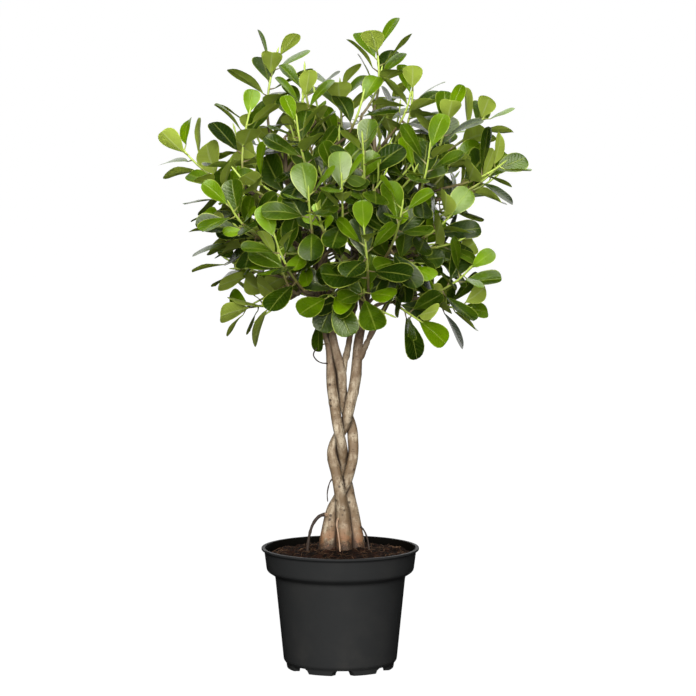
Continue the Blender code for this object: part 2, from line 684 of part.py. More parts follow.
def shoot_mesh(path, leaves):
    """One closed mesh: a four-sided twig with a pointed bud, and each leaf drawn out of one of its faces.

    A leaf starts at a triangular opening (keel, left, right) in the middle of the face that looks most
    its way. Seven triangles fill the face round the opening.
    """
    rings, radii = twig_rings(path, leaves)
    _, normals, binormals = frames(rings)
    points = []
    for centre, radius, normal, binormal in zip(rings, radii, normals, binormals):
        for corner in range(4):
            angle = math.radians(45.0 + 90.0 * corner)
            out = math.cos(angle) * normal + math.sin(angle) * binormal
            points.append(centre + radius * TWIG_CORNER * out)
    bud = len(points)
    points.append(rings[-1] + unit(rings[-1] - rings[-2]) * BUD_LENGTH)
    faces = [(3, 2, 1, 0)]
    last = 4 * (len(rings) - 1)
    for side in range(4):
        faces.append((last + side, last + (side + 1) % 4, bud))
    for ring in range(len(rings) - 1):
        leaf = leaves[ring - 1] if ring >= 1 else None
        facing = -1
        if leaf is not None:
            radial = leaf["stalk"][1]
            bearing = math.degrees(math.atan2(np.dot(radial, binormals[ring]), np.dot(radial, normals[ring])))
            facing = int(round((bearing - 90.0) / 90.0)) % 4
        for side in range(4):
            low = 4 * ring + side
            after = 4 * ring + (side + 1) % 4
            corners = (low, after, after + 4, low + 4)
            if side != facing:
                faces.append((corners[0], corners[1], corners[2]))
                faces.append((corners[0], corners[2], corners[3]))
                continue
            a, b, c, d = (points[corner] for corner in corners)
            hole = []
            for across, up in ((0.5, 0.25), (0.74, 0.62), (0.26, 0.62)):
                hole.append(len(points))
                low = a * (1 - across) + b * across
                high = d * (1 - across) + c * across
                points.append(low * (1 - up) + high * up)
            keel, left, right = hole
            low_a, low_b, high_c, high_d = corners
            faces += [(low_a, low_b, keel), (low_b, left, keel), (low_b, high_c, left)]
            faces += [(high_c, high_d, left), (high_d, right, left)]
            faces += [(high_d, low_a, right), (low_a, keel, right)]
            first = len(points)
            points += list(leaf_points(leaf))
            ends = np.array([points[first + k] for k in range(3)])
            starts = np.array([points[k] for k in hole])
            shift = min(range(3), key=lambda k: np.sum((np.roll(starts, -k, axis=0) - ends) ** 2))
            hole = hole[shift:] + hole[:shift]
            for k in range(3):
                after = (k + 1) % 3
                faces.append((hole[k], hole[after], first + after))
                faces.append((hole[k], first + after, first + k))
            faces += [tuple(first + index for index in face) for face in BLADE_FACES]
    return np.array(points), faces


def stem_parts(name, spine):
    """The trunk, boughs and aerial roots of one stem as (path, radii, sides)."""
    parts = []
    trunk = smooth_curve(spine, TRUNK_RINGS)
    parts.append((trunk[:, :3], trunk[:, 3], TRUNK_SIDES))
    limbs = [trunk[trunk[:, 2] > CROWN_START]]
    for bough in BOUGHS[name]:
        curve = smooth_curve(bough, 8)
        parts.append((curve[:, :3], curve[:, 3], 5))
        limbs.append(curve[2:])
    for root in AERIAL_ROOTS[name]:
        curve = smooth_curve(root, 7)
        parts.append((curve[:, :3], curve[:, 3], 5))
    return parts, limbs


def grow():
    """Every woody part by stem, every shoot's path and every leaf, with nothing crossing."""
    placed = Placed()
    spines = {"stem_left": STEM_LEFT, "stem_middle": STEM_MIDDLE, "stem_right": STEM_RIGHT}
    wood = {}
    limbs = []
    for name, spine in spines.items():
        wood[name], own_limbs = stem_parts(name, spine)
        limbs += [(name, limb) for limb in own_limbs]
        for path, radii, sides in wood[name]:
            placed.add(*tube(path, radii, sides), name)
    twigs = []
    for index, (base, tip, count) in enumerate(shoot_list()):
        name = f"shoot_{index + 1:02d}"
        rng = random.Random(FIRST_SEED + index)
        path, stem, bough = settle_shoot(base, tip, limbs, placed, rng)
        wood[stem].append(bough)
        placed.add(*tube(*bough), stem)
        placed.add(*twig_tube(path, 0.0), name)
        twigs.append((name, path, count, rng))
    shoots = []
    for name, path, count, rng in twigs:
        leaves = place_leaves(path, count, name, rng, placed)
        shoots.append((name, path, leaves))
    return wood, shoots


def build_stem(name, parts, material):
    """One woody stem joined from its tubes."""
    items = [new_object(f"{name}_{index}", *tube(*part), None) for index, part in enumerate(parts)]
    stem = items[0]
    stem.name = name
    stem.data.materials.append(material)
    boolean(stem, "UNION", items[1:], "MANIFOLD")
    shade_round(stem, 50.0)


def main():
    for item in list(bpy.data.objects):
        bpy.data.objects.remove(item)
    materials = {name: make_material(name) for name in COLOURS}
    wood, shoots = grow()
    buried = []
    for parts in wood.values():
        for path, radii, sides in parts:
            if path[:, 2].min() < SOIL_TOP:
                buried.append((path, radii, sides))
    build_pot(materials["pot"])
    build_soil(materials["soil"], buried)
    for name, parts in wood.items():
        build_stem(name, parts, materials["wood"])
    for name, path, leaves in shoots:
        new_object(name, *shoot_mesh(path, leaves), materials["leaf"])
    plant = bpy.data.objects.new("potted_fig", None)
    bpy.context.scene.collection.objects.link(plant)
    for item in list(bpy.context.scene.collection.objects):
        if item is not plant:
            item.parent = plant


main()
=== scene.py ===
"""A potted fig standard dressed for a studio picture.

Three stems are braided into one trunk under a rounded crown of glossy leaves, in a black nursery pot.
The plant is grown by the same rule and from the same numbers as its plain solids, so every fine leaf lies
where its solid lies. Side shoots then fill the crown. Tables are in millimetres, meshes in metres.
The part's +Z is up and the front of the plant looks towards -Y.
"""

import functools
import math
import random

import bpy
import numpy as np
from mathutils import Matrix
from mathutils.bvhtree import BVHTree


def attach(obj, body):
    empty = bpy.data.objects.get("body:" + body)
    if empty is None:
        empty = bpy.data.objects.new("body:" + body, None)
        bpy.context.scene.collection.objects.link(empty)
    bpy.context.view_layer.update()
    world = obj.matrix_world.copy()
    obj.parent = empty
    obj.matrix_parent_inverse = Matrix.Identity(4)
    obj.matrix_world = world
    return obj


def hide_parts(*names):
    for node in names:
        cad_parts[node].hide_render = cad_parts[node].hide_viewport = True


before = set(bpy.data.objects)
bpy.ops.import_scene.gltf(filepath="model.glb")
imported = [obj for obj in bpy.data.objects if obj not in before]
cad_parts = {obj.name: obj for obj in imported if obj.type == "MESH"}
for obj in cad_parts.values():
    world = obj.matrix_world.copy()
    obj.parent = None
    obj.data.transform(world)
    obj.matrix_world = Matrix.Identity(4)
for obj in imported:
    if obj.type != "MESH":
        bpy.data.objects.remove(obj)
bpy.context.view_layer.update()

bl_info = {
    "name": "Potted fig standard",
    "version": (1, 0, 0),
    "blender": (4, 5, 0),
    "location": "3D View > Sidebar > Potted fig",
    "description": "Builds a potted fig with a braided trunk, and the studio stage around it",
    "category": "Add Mesh",
}

BODY = "root"

# Metres for each millimetre, how far a shape sinks into what carries it, and the gap kept to others
MM = 0.001
SEAT = 0.3
CLEAR = 0.55

# Pot: arched notches in its foot ring, walls, floor, and its half outline as (radius, z)
NOTCH_COUNT = 7
NOTCH_FIRST_DEG = -87.0
NOTCH_HEIGHT = 6.4
NOTCH_SHOULDER = 3.6
NOTCH_REACH = (54.0, 70.0)
NOTCH_HALF_WIDTH = (5.2, 18.7)
POT_HEIGHT = 146.0
WALL = 1.6
FOOT_INNER = 58.0
FLOOR_UNDER = 7.2
FLOOR_TOP = 9.2
FLOOR_FILLET = 2.0
LIP = 4.0
POT_OUTSIDE = (
    (64.3, 0.0),
    (65.3, 6.0),
    (68.4, 10.0),
    (78.5, 110.6),
    (80.0, 112.8),
    (88.6, 118.3),
    (91.6, 141.6),
    (95.0, 143.6),
    (95.0, POT_HEIGHT),
)

# Soil in the middle and at the wall
SOIL_TOP = 145.0
SOIL_EDGE = 137.0

# Leaf, as fractions of its blade length and half-width
LEAF_STATIONS = ((0.5, 0.9), (0.86, 0.8))
PETIOLE_HALF_WIDTH = 0.95
KEEL = 1.25

# Turn from one leaf to the next, steps between two points of a curve, and a way that no path starts in
GOLDEN_DEG = 137.5
CURVE_STEPS = 12
ASKEW = (0.31, 0.95, 0.07)

# Faces of a plain blade over its ten points
BLADE_FACES = (
    (1, 2, 5), (1, 5, 4), (0, 1, 4), (0, 4, 3), (2, 0, 3), (2, 3, 5),
    (4, 5, 8), (4, 8, 7), (3, 4, 7), (3, 7, 6), (5, 3, 6), (5, 6, 8),
    (7, 8, 9), (6, 7, 9), (8, 6, 9),
)

# Stems, from the soil up: (x, y, z, radius)
STEM_LEFT = (
    (23.0, 1.0, 114.0, 8.2),
    (21.0, 1.5, 147.0, 7.9),
    (18.6, 2.2, 166.0, 7.3),
    (16.6, 2.8, 180.0, 6.7),
    (14.5, 3.7, 192.0, 6.3),
    (11.8, 7.1, 204.0, 5.95),
    (9.6, 11.3, 216.0, 5.95),
    (6.8, 10.8, 228.0, 5.95),
    (4.5, 7.5, 240.0, 5.95),
    (3.4, 3.5, 252.0, 5.95),
    (2.7, -2.6, 264.0, 5.95),
    (0.7, -7.8, 276.0, 5.95),
    (-1.9, -10.2, 288.0, 5.95),
    (-4.2, -8.1, 300.0, 5.95),
    (-6.0, -4.4, 312.0, 5.95),
    (-9.6, -2.0, 336.0, 5.95),
    (-11.0, 1.0, 360.0, 5.6),
    (-13.0, 4.0, 390.0, 4.9),
    (-27.0, -5.0, 432.0, 4.6),
    (-46.0, -10.0, 500.0, 3.6),
    (-62.0, -6.0, 575.0, 2.6),
    (-66.0, 2.0, 640.0, 1.8),
)

STEM_MIDDLE = (
    (-16.4, 4.0, 114.0, 10.8),
    (-14.4, 4.0, 147.0, 10.4),
    (-12.8, 3.6, 166.0, 9.0),
    (-11.4, 3.0, 180.0, 7.7),
    (-9.4, 2.4, 192.0, 6.7),
    (-3.6, 2.9, 204.0, 6.2),
    (2.8, 0.6, 216.0, 5.95),
    (8.4, -2.3, 228.0, 5.95),
    (11.9, -3.4, 240.0, 5.95),
    (14.8, -2.8, 252.0, 5.95),
    (15.8, -0.2, 264.0, 5.95),
    (15.3, 3.4, 276.0, 5.95),
    (14.2, 8.2, 288.0, 5.95),
    (10.7, 10.6, 300.0, 5.95),
    (6.4, 8.8, 312.0, 5.95),
    (2.2, 3.8, 336.0, 5.95),
    (1.2, -0.6, 360.0, 5.8),
    (-5.2, -5.8, 385.0, 4.5),
    (-9.5, -4.0, 405.0, 4.3),
    (-14.5, 7.0, 425.0, 4.0),
    (-22.0, 27.0, 456.0, 3.7),
    (-30.0, 48.0, 530.0, 2.9),
    (-22.0, 46.0, 620.0, 1.8),
)

STEM_RIGHT = (
    (5.2, -6.2, 114.0, 8.8),
    (5.0, -6.2, 147.0, 8.5),
    (4.6, -6.5, 166.0, 7.9),
    (3.8, -6.4, 180.0, 7.5),
    (2.8, -6.6, 192.0, 6.9),
    (1.3, -10.2, 204.0, 6.5),
    (-0.9, -11.8, 216.0, 6.1),
    (-3.2, -8.6, 228.0, 5.95),
    (-5.6, -4.1, 240.0, 5.95),
    (-8.8, -0.8, 252.0, 5.95),
    (-9.2, 2.6, 264.0, 5.95),
    (-4.8, 4.3, 276.0, 5.95),
    (2.3, 2.2, 288.0, 5.95),
    (7.3, -2.1, 300.0, 5.95),
    (10.0, -3.8, 312.0, 5.95),
    (15.7, -1.7, 336.0, 5.95),
    (19.4, -0.3, 360.0, 6.0),
    (21.2, 0.0, 390.0, 5.5),
    (28.0, -6.0, 430.0, 4.5),
    (38.0, -8.0, 500.0, 3.6),
    (42.0, -4.0, 580.0, 2.7),
    (40.0, 0.0, 655.0, 1.8),
)

# Boughs that leave a stem, each starting inside it
BOUGHS = {
    "stem_left": (
        ((-20.0, -1.0, 410.0, 3.9), (-26.0, -22.0, 440.0, 3.3), (-24.0, -54.0, 484.0, 2.6),
         (-20.0, -78.0, 540.0, 1.8)),
        ((-30.0, -6.0, 444.0, 3.4), (-52.0, 4.0, 466.0, 2.8), (-84.0, 12.0, 510.0, 1.9)),
    ),
    "stem_middle": (
        ((1.4, 0.4, 355.0, 4.4), (9.6, 6.0, 388.0, 3.5), (17.0, 26.0, 436.0, 3.2),
         (34.0, 50.0, 510.0, 2.7), (46.0, 52.0, 590.0, 1.8)),
        ((-14.5, 7.5, 426.0, 3.2), (-38.0, 38.0, 462.0, 2.5), (-66.0, 58.0, 505.0, 1.8)),
    ),
    "stem_right": (
        ((19.6, 0.0, 364.0, 4.0), (34.0, 0.0, 398.0, 3.6), (58.0, 2.0, 444.0, 3.0),
         (86.0, 0.0, 500.0, 2.3), (100.0, -2.0, 550.0, 1.8)),
        ((23.0, -2.0, 398.0, 3.8), (28.0, -24.0, 430.0, 3.3), (34.0, -58.0, 480.0, 2.6),
         (36.0, -84.0, 535.0, 1.8)),
    ),
}

# Aerial roots, each starting inside its stem
AERIAL_ROOTS = {
    "stem_left": (
        ((20.0, 0.5, 171.0, 1.2), (27.0, -3.0, 169.0, 1.0), (33.0, -7.0, 156.0, 1.0),
         (36.0, -9.0, 134.0, 1.0)),
        ((-15.0, -1.0, 393.0, 0.9), (-26.0, -7.0, 390.0, 0.8), (-32.0, -9.0, 380.0, 0.8),
         (-25.0, -7.0, 371.0, 0.8), (-14.0, -1.0, 369.0, 0.9)),
    ),
    "stem_middle": (
        ((-12.0, -1.0, 184.0, 2.3), (-23.0, -7.0, 186.0, 2.2), (-33.0, -10.0, 175.0, 2.0),
         (-38.0, -12.0, 157.0, 1.8), (-40.0, -12.0, 134.0, 1.6)),
    ),
    "stem_right": (
        ((1.0, -7.0, 186.0, 1.3), (-4.0, -15.5, 179.0, 1.1), (-2.5, -20.5, 166.0, 1.0),
         (-0.5, -24.0, 150.0, 1.0), (0.0, -25.0, 134.0, 1.0)),
        ((-5.5, -5.0, 234.0, 0.9), (-12.5, -9.5, 226.0, 0.8), (-15.5, -11.0, 213.0, 0.7),
         (-15.0, -11.0, 203.0, 0.6)),
    ),
}

# Leafy shoots of the front half: (base, tip, leaves)
FRONT_SHOOTS = (
    ((-86, 18, 655), (-76, 28, 738), 9),
    ((-114, -12, 585), (-108, -20, 668), 8),
    ((-118, 50, 570), (-193, 82, 624), 8),
    ((-29, -30, 612), (-44, -50, 692), 8),
    ((-32, -66, 588), (-50, -110, 664), 8),
    ((2, 14, 634), (0, 10, 702), 8),
    ((40, 2, 672), (43, 0, 749), 9),
    ((71, -12, 635), (86, -20, 700), 8),
    ((98, -40, 594), (126, -62, 672), 8),
    ((120, 22, 618), (174, 36, 664), 8),
    ((128, -58, 584), (189, -84, 612), 8),
    ((28, -90, 560), (26, -146, 646), 8),
    ((-29, -102, 520), (-36, -168, 585), 8),
    ((-100, -22, 548), (-150, -40, 590), 7),
    ((-92, -4, 500), (-148, -10, 532), 7),
    ((-78, 28, 472), (-136, 46, 490), 7),
    ((-62, 24, 444), (-116, 40, 432), 7),
    ((-43, -98, 466), (-74, -160, 530), 8),
    ((33, -108, 470), (28, -172, 540), 8),
    ((2, -40, 466), (-12, -88, 458), 7),
    ((24, -62, 456), (28, -116, 466), 6),
    ((56, -54, 452), (92, -90, 430), 7),
    ((98, -60, 454), (150, -108, 490), 8),
    ((86, -26, 446), (148, -42, 440), 7),
    ((77, -60, 515), (128, -100, 552), 7),
    ((98, 18, 540), (148, 34, 574), 7),
    ((82, -84, 556), (104, -134, 634), 8),
    ((53, -108, 505), (72, -170, 570), 8),
    ((4, -102, 525), (2, -168, 600), 8),
    ((-88, -66, 520), (-128, -116, 566), 8),
)

# Leafy shoots of the back half follow a spiral over an ellipsoid
BACK_COUNT = 13
BACK_CENTRE = (0.0, 12.0, 560.0)
BACK_REACH = (152.0, 174.0, 148.0)
BACK_LOWEST = -0.72
BACK_HIGHEST = 0.86
BACK_SWING_DEG = 78.0
BACK_RISE = 0.55
BACK_LENGTH = 88.0
BACK_LEAVES = 7

# How leaves sit on a shoot, each pair from its base to its tip
LEAF_LENGTH = (50.0, 35.0)
LEAF_PITCH_DEG = (68.0, 30.0)
LEAF_PLACES = (0.08, 0.98)
LEAF_WIDTH_RATIO = 0.68
PLACE_POWER = 0.75
LENGTH_POWER = 1.6
TRY_SHRINK = 0.008
LEAF_TRIES = 26
PETIOLE_LENGTH = 8.5
PETIOLE_LEAD = (0.5, 0.7)

# How far each leaf strays from the rule: the range of a random factor or value
LENGTH_RANGE = (0.86, 1.12)
WIDTH_RANGE = (0.92, 1.08)
PETIOLE_RANGE = (0.85, 1.2)
CURL_RANGE = (-0.05, 0.55)
PITCH_LIMITS_DEG = (14.0, 105.0)
LOOSE_DEG = (8.0, 2.2)

# How strongly the upper faces turn to the light
CROWN_HEART = (0.0, 0.0, 520.0)
LIGHT_PULL = 0.6
LEAST_LIGHT = 0.15
OUTWARD_PULL = (0.45, -0.05)

# Twigs
TWIG_RADIUS = (1.6, 1.05)
TWIG_CORNER = 1.15
TWIG_POINTS = 9
TWIG_BOW = 0.12
TWIG_SAG = 0.07
BUD_LENGTH = 7.0
SHOOT_TRIES = 60
TRIES_PER_LIMB = 15
SHIFT_STEP = 0.5
FIRST_SEED = 1000

# Trunks, limbs and aerial roots, and the thin boughs that carry the shoots
TRUNK_RINGS = 33
TRUNK_SIDES = 7
LIMB_RINGS = 8
LIMB_SIDES = 5
ROOT_RINGS = 7
THIN_SIDES = 4
CROWN_START = 400.0
BOUGH_BASE_RADIUS = 2.6
BOUGH_TIP_RADIUS = 1.6
BOUGH_RINGS = 5
BOUGH_STUB = 4.0
BOUGH_REACH = 55.0
BOUGH_RISE = 18.0
BOUGH_SWAY = 0.10
BOUGH_LEAD = (0.35, 0.40)


def unit(vector):
    """The vector at length 1."""
    return vector / np.linalg.norm(vector)


def each_unit(vectors):
    """Each row at length 1."""
    return vectors / np.linalg.norm(vectors, axis=1)[:, None]


def between(pair, share):
    """The value at a share of the way from the first of a pair to the second."""
    return pair[0] + (pair[1] - pair[0]) * share


def smooth_curve(points, count):
    """Points on a Catmull-Rom curve, closer together where the given points are, column by column."""
    points = np.asarray(points, dtype=float)
    padded = np.vstack([2 * points[0] - points[1], points, 2 * points[-1] - points[-2]])
    steps = np.linspace(0.0, 1.0, CURVE_STEPS, endpoint=False)[:, None]
    pieces = []
    for a, b, c, d in zip(padded[:-3], padded[1:-2], padded[2:-1], padded[3:]):
        pieces.append(0.5 * (2 * b + (c - a) * steps + (2 * a - 5 * b + 4 * c - d) * steps**2
                             + (3 * b - a - 3 * c + d) * steps**3))
    dense = np.vstack(pieces + [points[-1:]])
    wanted = np.linspace(0.0, len(dense) - 1.0, count)
    return np.stack([np.interp(wanted, range(len(dense)), column) for column in dense.T], axis=1)


def frames(path):
    """Tangent, normal and binormal at each point, carried along the path without twist."""
    tangents = each_unit(np.gradient(path, axis=0))
    normal = np.cross(tangents[0], ASKEW)
    normals = []
    for tangent in tangents:
        normal = unit(normal - tangent * np.dot(normal, tangent))
        normals.append(normal)
    normals = np.array(normals)
    return tangents, normals, np.cross(tangents, normals)


def circles(angles, first, second):
    """Unit circles: the cosine of each angle times the first way, plus its sine times the second."""
    return np.cos(angles)[None, :, None] * first[:, None] + np.sin(angles)[None, :, None] * second[:, None]


def tube(path, radii, sides):
    """A closed round bar along the path: rings of points and flat ends."""
    path = np.asarray(path, dtype=float)
    radii = np.broadcast_to(radii, len(path))
    _, normals, binormals = frames(path)
    angles = (np.arange(sides) + 0.5) * 2 * math.pi / sides
    points = path[:, None] + radii[:, None, None] * circles(angles, normals, binormals)
    faces = []
    for ring in range(len(path) - 1):
        for side in range(sides):
            low = ring * sides + side
            next_low = ring * sides + (side + 1) % sides
            faces.append((low, next_low, next_low + sides, low + sides))
    top = (len(path) - 1) * sides
    faces.append(tuple(range(sides - 1, -1, -1)))
    faces.append(tuple(range(top, top + sides)))
    return points.reshape(-1, 3), faces


def pot_inside():
    """The inner wall (radius, z) from the lip down to the floor, one wall thickness inside the outer one."""
    _, _, corner, neck, ledge, band, collar, lip, _ = POT_OUTSIDE
    return (
        (lip[0] - LIP, POT_HEIGHT),
        (collar[0] - WALL, collar[1]),
        (band[0] - WALL, band[1] + WALL),
        (ledge[0] - WALL, ledge[1] + WALL),
        (neck[0] - WALL, neck[1]),
        (corner[0] - WALL, FLOOR_TOP + FLOOR_FILLET),
        (corner[0] - WALL - FLOOR_FILLET, FLOOR_TOP),
    )


def bezier(start, middle, end, count):
    """Points on a quadratic curve."""
    steps = np.linspace(0.0, 1.0, count)[:, None]
    return (1 - steps) ** 2 * start + 2 * steps * (1 - steps) * middle + steps**2 * end


class Placed:
    """Closed shapes that are already in place, kept for crossing tests."""

    def __init__(self):
        self.low = np.zeros((0, 3))
        self.high = np.zeros((0, 3))
        self.trees = []
        self.owners = []

    def add(self, points, faces, owner):
        """Keeps a closed shape under the name of its owner."""
        self.low = np.vstack([self.low, points.min(axis=0)])
        self.high = np.vstack([self.high, points.max(axis=0)])
        self.trees.append(BVHTree.FromPolygons(points.tolist(), faces))
        self.owners.append(owner)

    def clear_of(self, points, faces, skip=()):
        """True if the closed shape crosses nothing in place, apart from the owners to skip."""
        low = points.min(axis=0)
        high = points.max(axis=0)
        near = np.nonzero(np.all((self.low <= high) & (self.high >= low), axis=1))[0]
        near = [index for index in near if self.owners[index] not in skip]
        if not near:
            return True
        tree = BVHTree.FromPolygons(points.tolist(), faces)
        return not any(tree.overlap(self.trees[index]) for index in near)


def shoot_list():
    """Base, tip and leaf count of each shoot: the front ones as listed, the back ones on a spiral."""
    shoots = [(np.array(base, float), np.array(tip, float), leaves) for base, tip, leaves in FRONT_SHOOTS]
    for index in range(BACK_COUNT):
        lift = BACK_LOWEST + (BACK_HIGHEST - BACK_LOWEST) * (index + 0.5) / BACK_COUNT
        turn = math.radians(90.0 + BACK_SWING_DEG * math.sin(index * math.radians(GOLDEN_DEG)))
        level = math.sqrt(1.0 - lift**2)
        out = np.array([level * math.cos(turn), level * math.sin(turn), lift])
        tip = np.array(BACK_CENTRE) + out * BACK_REACH
        rise = unit(out + np.array([0.0, 0.0, BACK_RISE]))
        shoots.append((tip - rise * BACK_LENGTH, tip, BACK_LEAVES))
    return shoots


def shoot_path(base, tip):
    """A twig that leaves its bough outwards and turns up towards its tip."""
    reach = np.linalg.norm(tip - base)
    outward = np.array([base[0] + tip[0], base[1] + tip[1], 0.0])
    outward = unit(outward) if np.linalg.norm(outward) > 1.0 else np.zeros(3)
    middle = (base + tip) / 2 + reach * (TWIG_BOW * outward - np.array([0.0, 0.0, TWIG_SAG]))
    return bezier(base, middle, tip, TWIG_POINTS)


def twig_tube(path, spare):
    """The twig with its bud as a plain bar, wider than it by the spare distance."""
    bar = np.vstack([path, path[-1] + unit(path[-1] - path[-2]) * BUD_LENGTH])
    return tube(bar, np.linspace(*TWIG_RADIUS, len(bar)) * TWIG_CORNER + spare, THIN_SIDES)


def bough_path(limb, base, heading, rng):
    """A woody twig from the best place on a limb to the base of a shoot, and the radii along it."""
    gaps = np.linalg.norm(limb[:, :3] - base, axis=1)
    too_high = np.maximum(0.0, BOUGH_RISE - (base[2] - limb[:, 2]))
    start = int(np.argmin(np.abs(gaps - BOUGH_REACH) + 3.0 * too_high))
    spot = limb[start, :3]
    along = unit(limb[min(start + 1, len(limb) - 1), :3] - limb[max(start - 1, 0), :3])
    reach = np.linalg.norm(base - spot)
    sway = np.array([rng.uniform(-1, 1) for _ in range(3)]) * BOUGH_SWAY * reach
    first = spot + along * reach * BOUGH_LEAD[0] + sway
    last = base - heading * reach * BOUGH_LEAD[1]
    end = base - heading * BOUGH_STUB
    steps = np.linspace(0.0, 1.0, BOUGH_RINGS - 1)[:, None]
    path = ((1 - steps) ** 3 * spot + 3 * steps * (1 - steps) ** 2 * first + 3 * steps**2 * (1 - steps) * last
            + steps**3 * end)
    path = np.vstack([path, base])
    radii = np.linspace(min(limb[start, 3] * 0.8, BOUGH_BASE_RADIUS), BOUGH_TIP_RADIUS, BOUGH_RINGS)
    return path, radii


def nearest_first(limbs, place):
    """The limbs, each a stem's name and its curve, from the nearest to a place to the furthest."""
    return sorted(limbs, key=lambda limb: float(np.linalg.norm(limb[1][:, :3] - place, axis=1).min()))


def free_shoot(path, stem, limb, placed, rng):
    """The path of a twig, its stem and the bough that carries it, or None where either isn't clear."""
    heading = unit(path[1] - path[0])
    bough, radii = bough_path(limb, path[0] - heading * SEAT, heading, rng)
    if not placed.clear_of(*twig_tube(path, CLEAR)):
        return None
    if not placed.clear_of(*tube(bough, radii + CLEAR, THIN_SIDES), skip=(stem,)):
        return None
    return path, stem, (bough, radii, THIN_SIDES)


def settle_shoot(base, tip, limbs, placed, rng):
    """A free place for a shoot near where it is wanted. Each try moves it a little further."""
    ranked = nearest_first(limbs, base)
    for attempt in range(SHOOT_TRIES):
        shift = np.array([rng.uniform(-1, 1) for _ in range(3)]) * SHIFT_STEP * attempt
        path = shoot_path(base + shift * 0.5, tip + shift)
        found = free_shoot(path, *ranked[attempt // TRIES_PER_LIMB], placed, rng)
        if found:
            return found
    raise ValueError("a shoot finds no free place")


def leaf_frame(axis, azimuth, pitch, normal, binormal, light):
    """Direction of the blade and the way its upper face looks, turned part of the way to the light."""
    radial = math.cos(azimuth) * normal + math.sin(azimuth) * binormal
    along = unit(math.cos(pitch) * axis + math.sin(pitch) * radial)
    face = math.sin(pitch) * axis - math.cos(pitch) * radial + light
    face = unit(face - along * np.dot(face, along))
    return along, face, radial


def leaf_line(start, radial, along, face, petiole, length, curl, parts):
    """The midrib: a petiole from the twig, then an arc that bends away from the upper face."""
    lead = unit(PETIOLE_LEAD[0] * radial + PETIOLE_LEAD[1] * along)
    root = start + lead * petiole
    turns = curl * np.asarray(parts)
    if abs(curl) > 1e-6:
        forward = np.sin(turns) / curl
        down = (1 - np.cos(turns)) / curl
    else:
        forward = np.asarray(parts, float)
        down = np.zeros(len(turns))
    line = root + length * (forward[:, None] * along - down[:, None] * face)
    faces = np.cos(turns)[:, None] * face + np.sin(turns)[:, None] * along
    return line, faces


def leaf_sections(leaf, start):
    """Midrib points from a share of the blade to its tip, the ways up and aside, and the half-widths."""
    parts = [start] + [part for part, _ in LEAF_STATIONS] + [1.0]
    line, ups = leaf_line(*leaf["stalk"], leaf["length"], leaf["curl"], parts)
    side = np.cross(leaf["stalk"][2], leaf["stalk"][3])
    return line, ups, side, [PETIOLE_HALF_WIDTH] + [leaf["half_width"] * share for _, share in LEAF_STATIONS]


def leaf_points(leaf):
    """Sections of three points (keel, left, right) from the blade's base to its end, and the tip point."""
    line, ups, side, halves = leaf_sections(leaf, 0.0)
    points = []
    for centre, up, half in zip(line, ups, halves):
        points.append(centre - up * KEEL)
        points.append(centre - side * half)
        points.append(centre + side * half)
    points.append(line[-1])
    return np.array(points)


def leaf_box(leaf, spare):
    """A plain closed slab round the blade, wider than it by the spare distance, for crossing tests."""
    line, ups, side, halves = leaf_sections(leaf, 0.02)
    points = []
    for centre, up, half in zip(line, ups, halves + [0.4]):
        wide = side * (half + spare)
        points += [centre - wide - up * (KEEL + spare), centre + wide - up * (KEEL + spare),
                   centre + wide + up * spare, centre - wide + up * spare]
    faces = [(3, 2, 1, 0), (12, 13, 14, 15)]
    for ring in range(3):
        for edge in range(4):
            low = 4 * ring + edge
            after = 4 * ring + (edge + 1) % 4
            faces.append((low, after, after + 4, low + 4))
    return np.array(points), faces


def petiole_tube(leaf, spare):
    """A plain bar along the leaf's stalk, wider than it by the spare distance."""
    start, radial = leaf["stalk"][0], leaf["stalk"][1]
    ends = np.array([start + radial, leaf_points(leaf)[:3].mean(axis=0)])
    return tube(ends, PETIOLE_HALF_WIDTH * 1.2 + spare, THIN_SIDES)


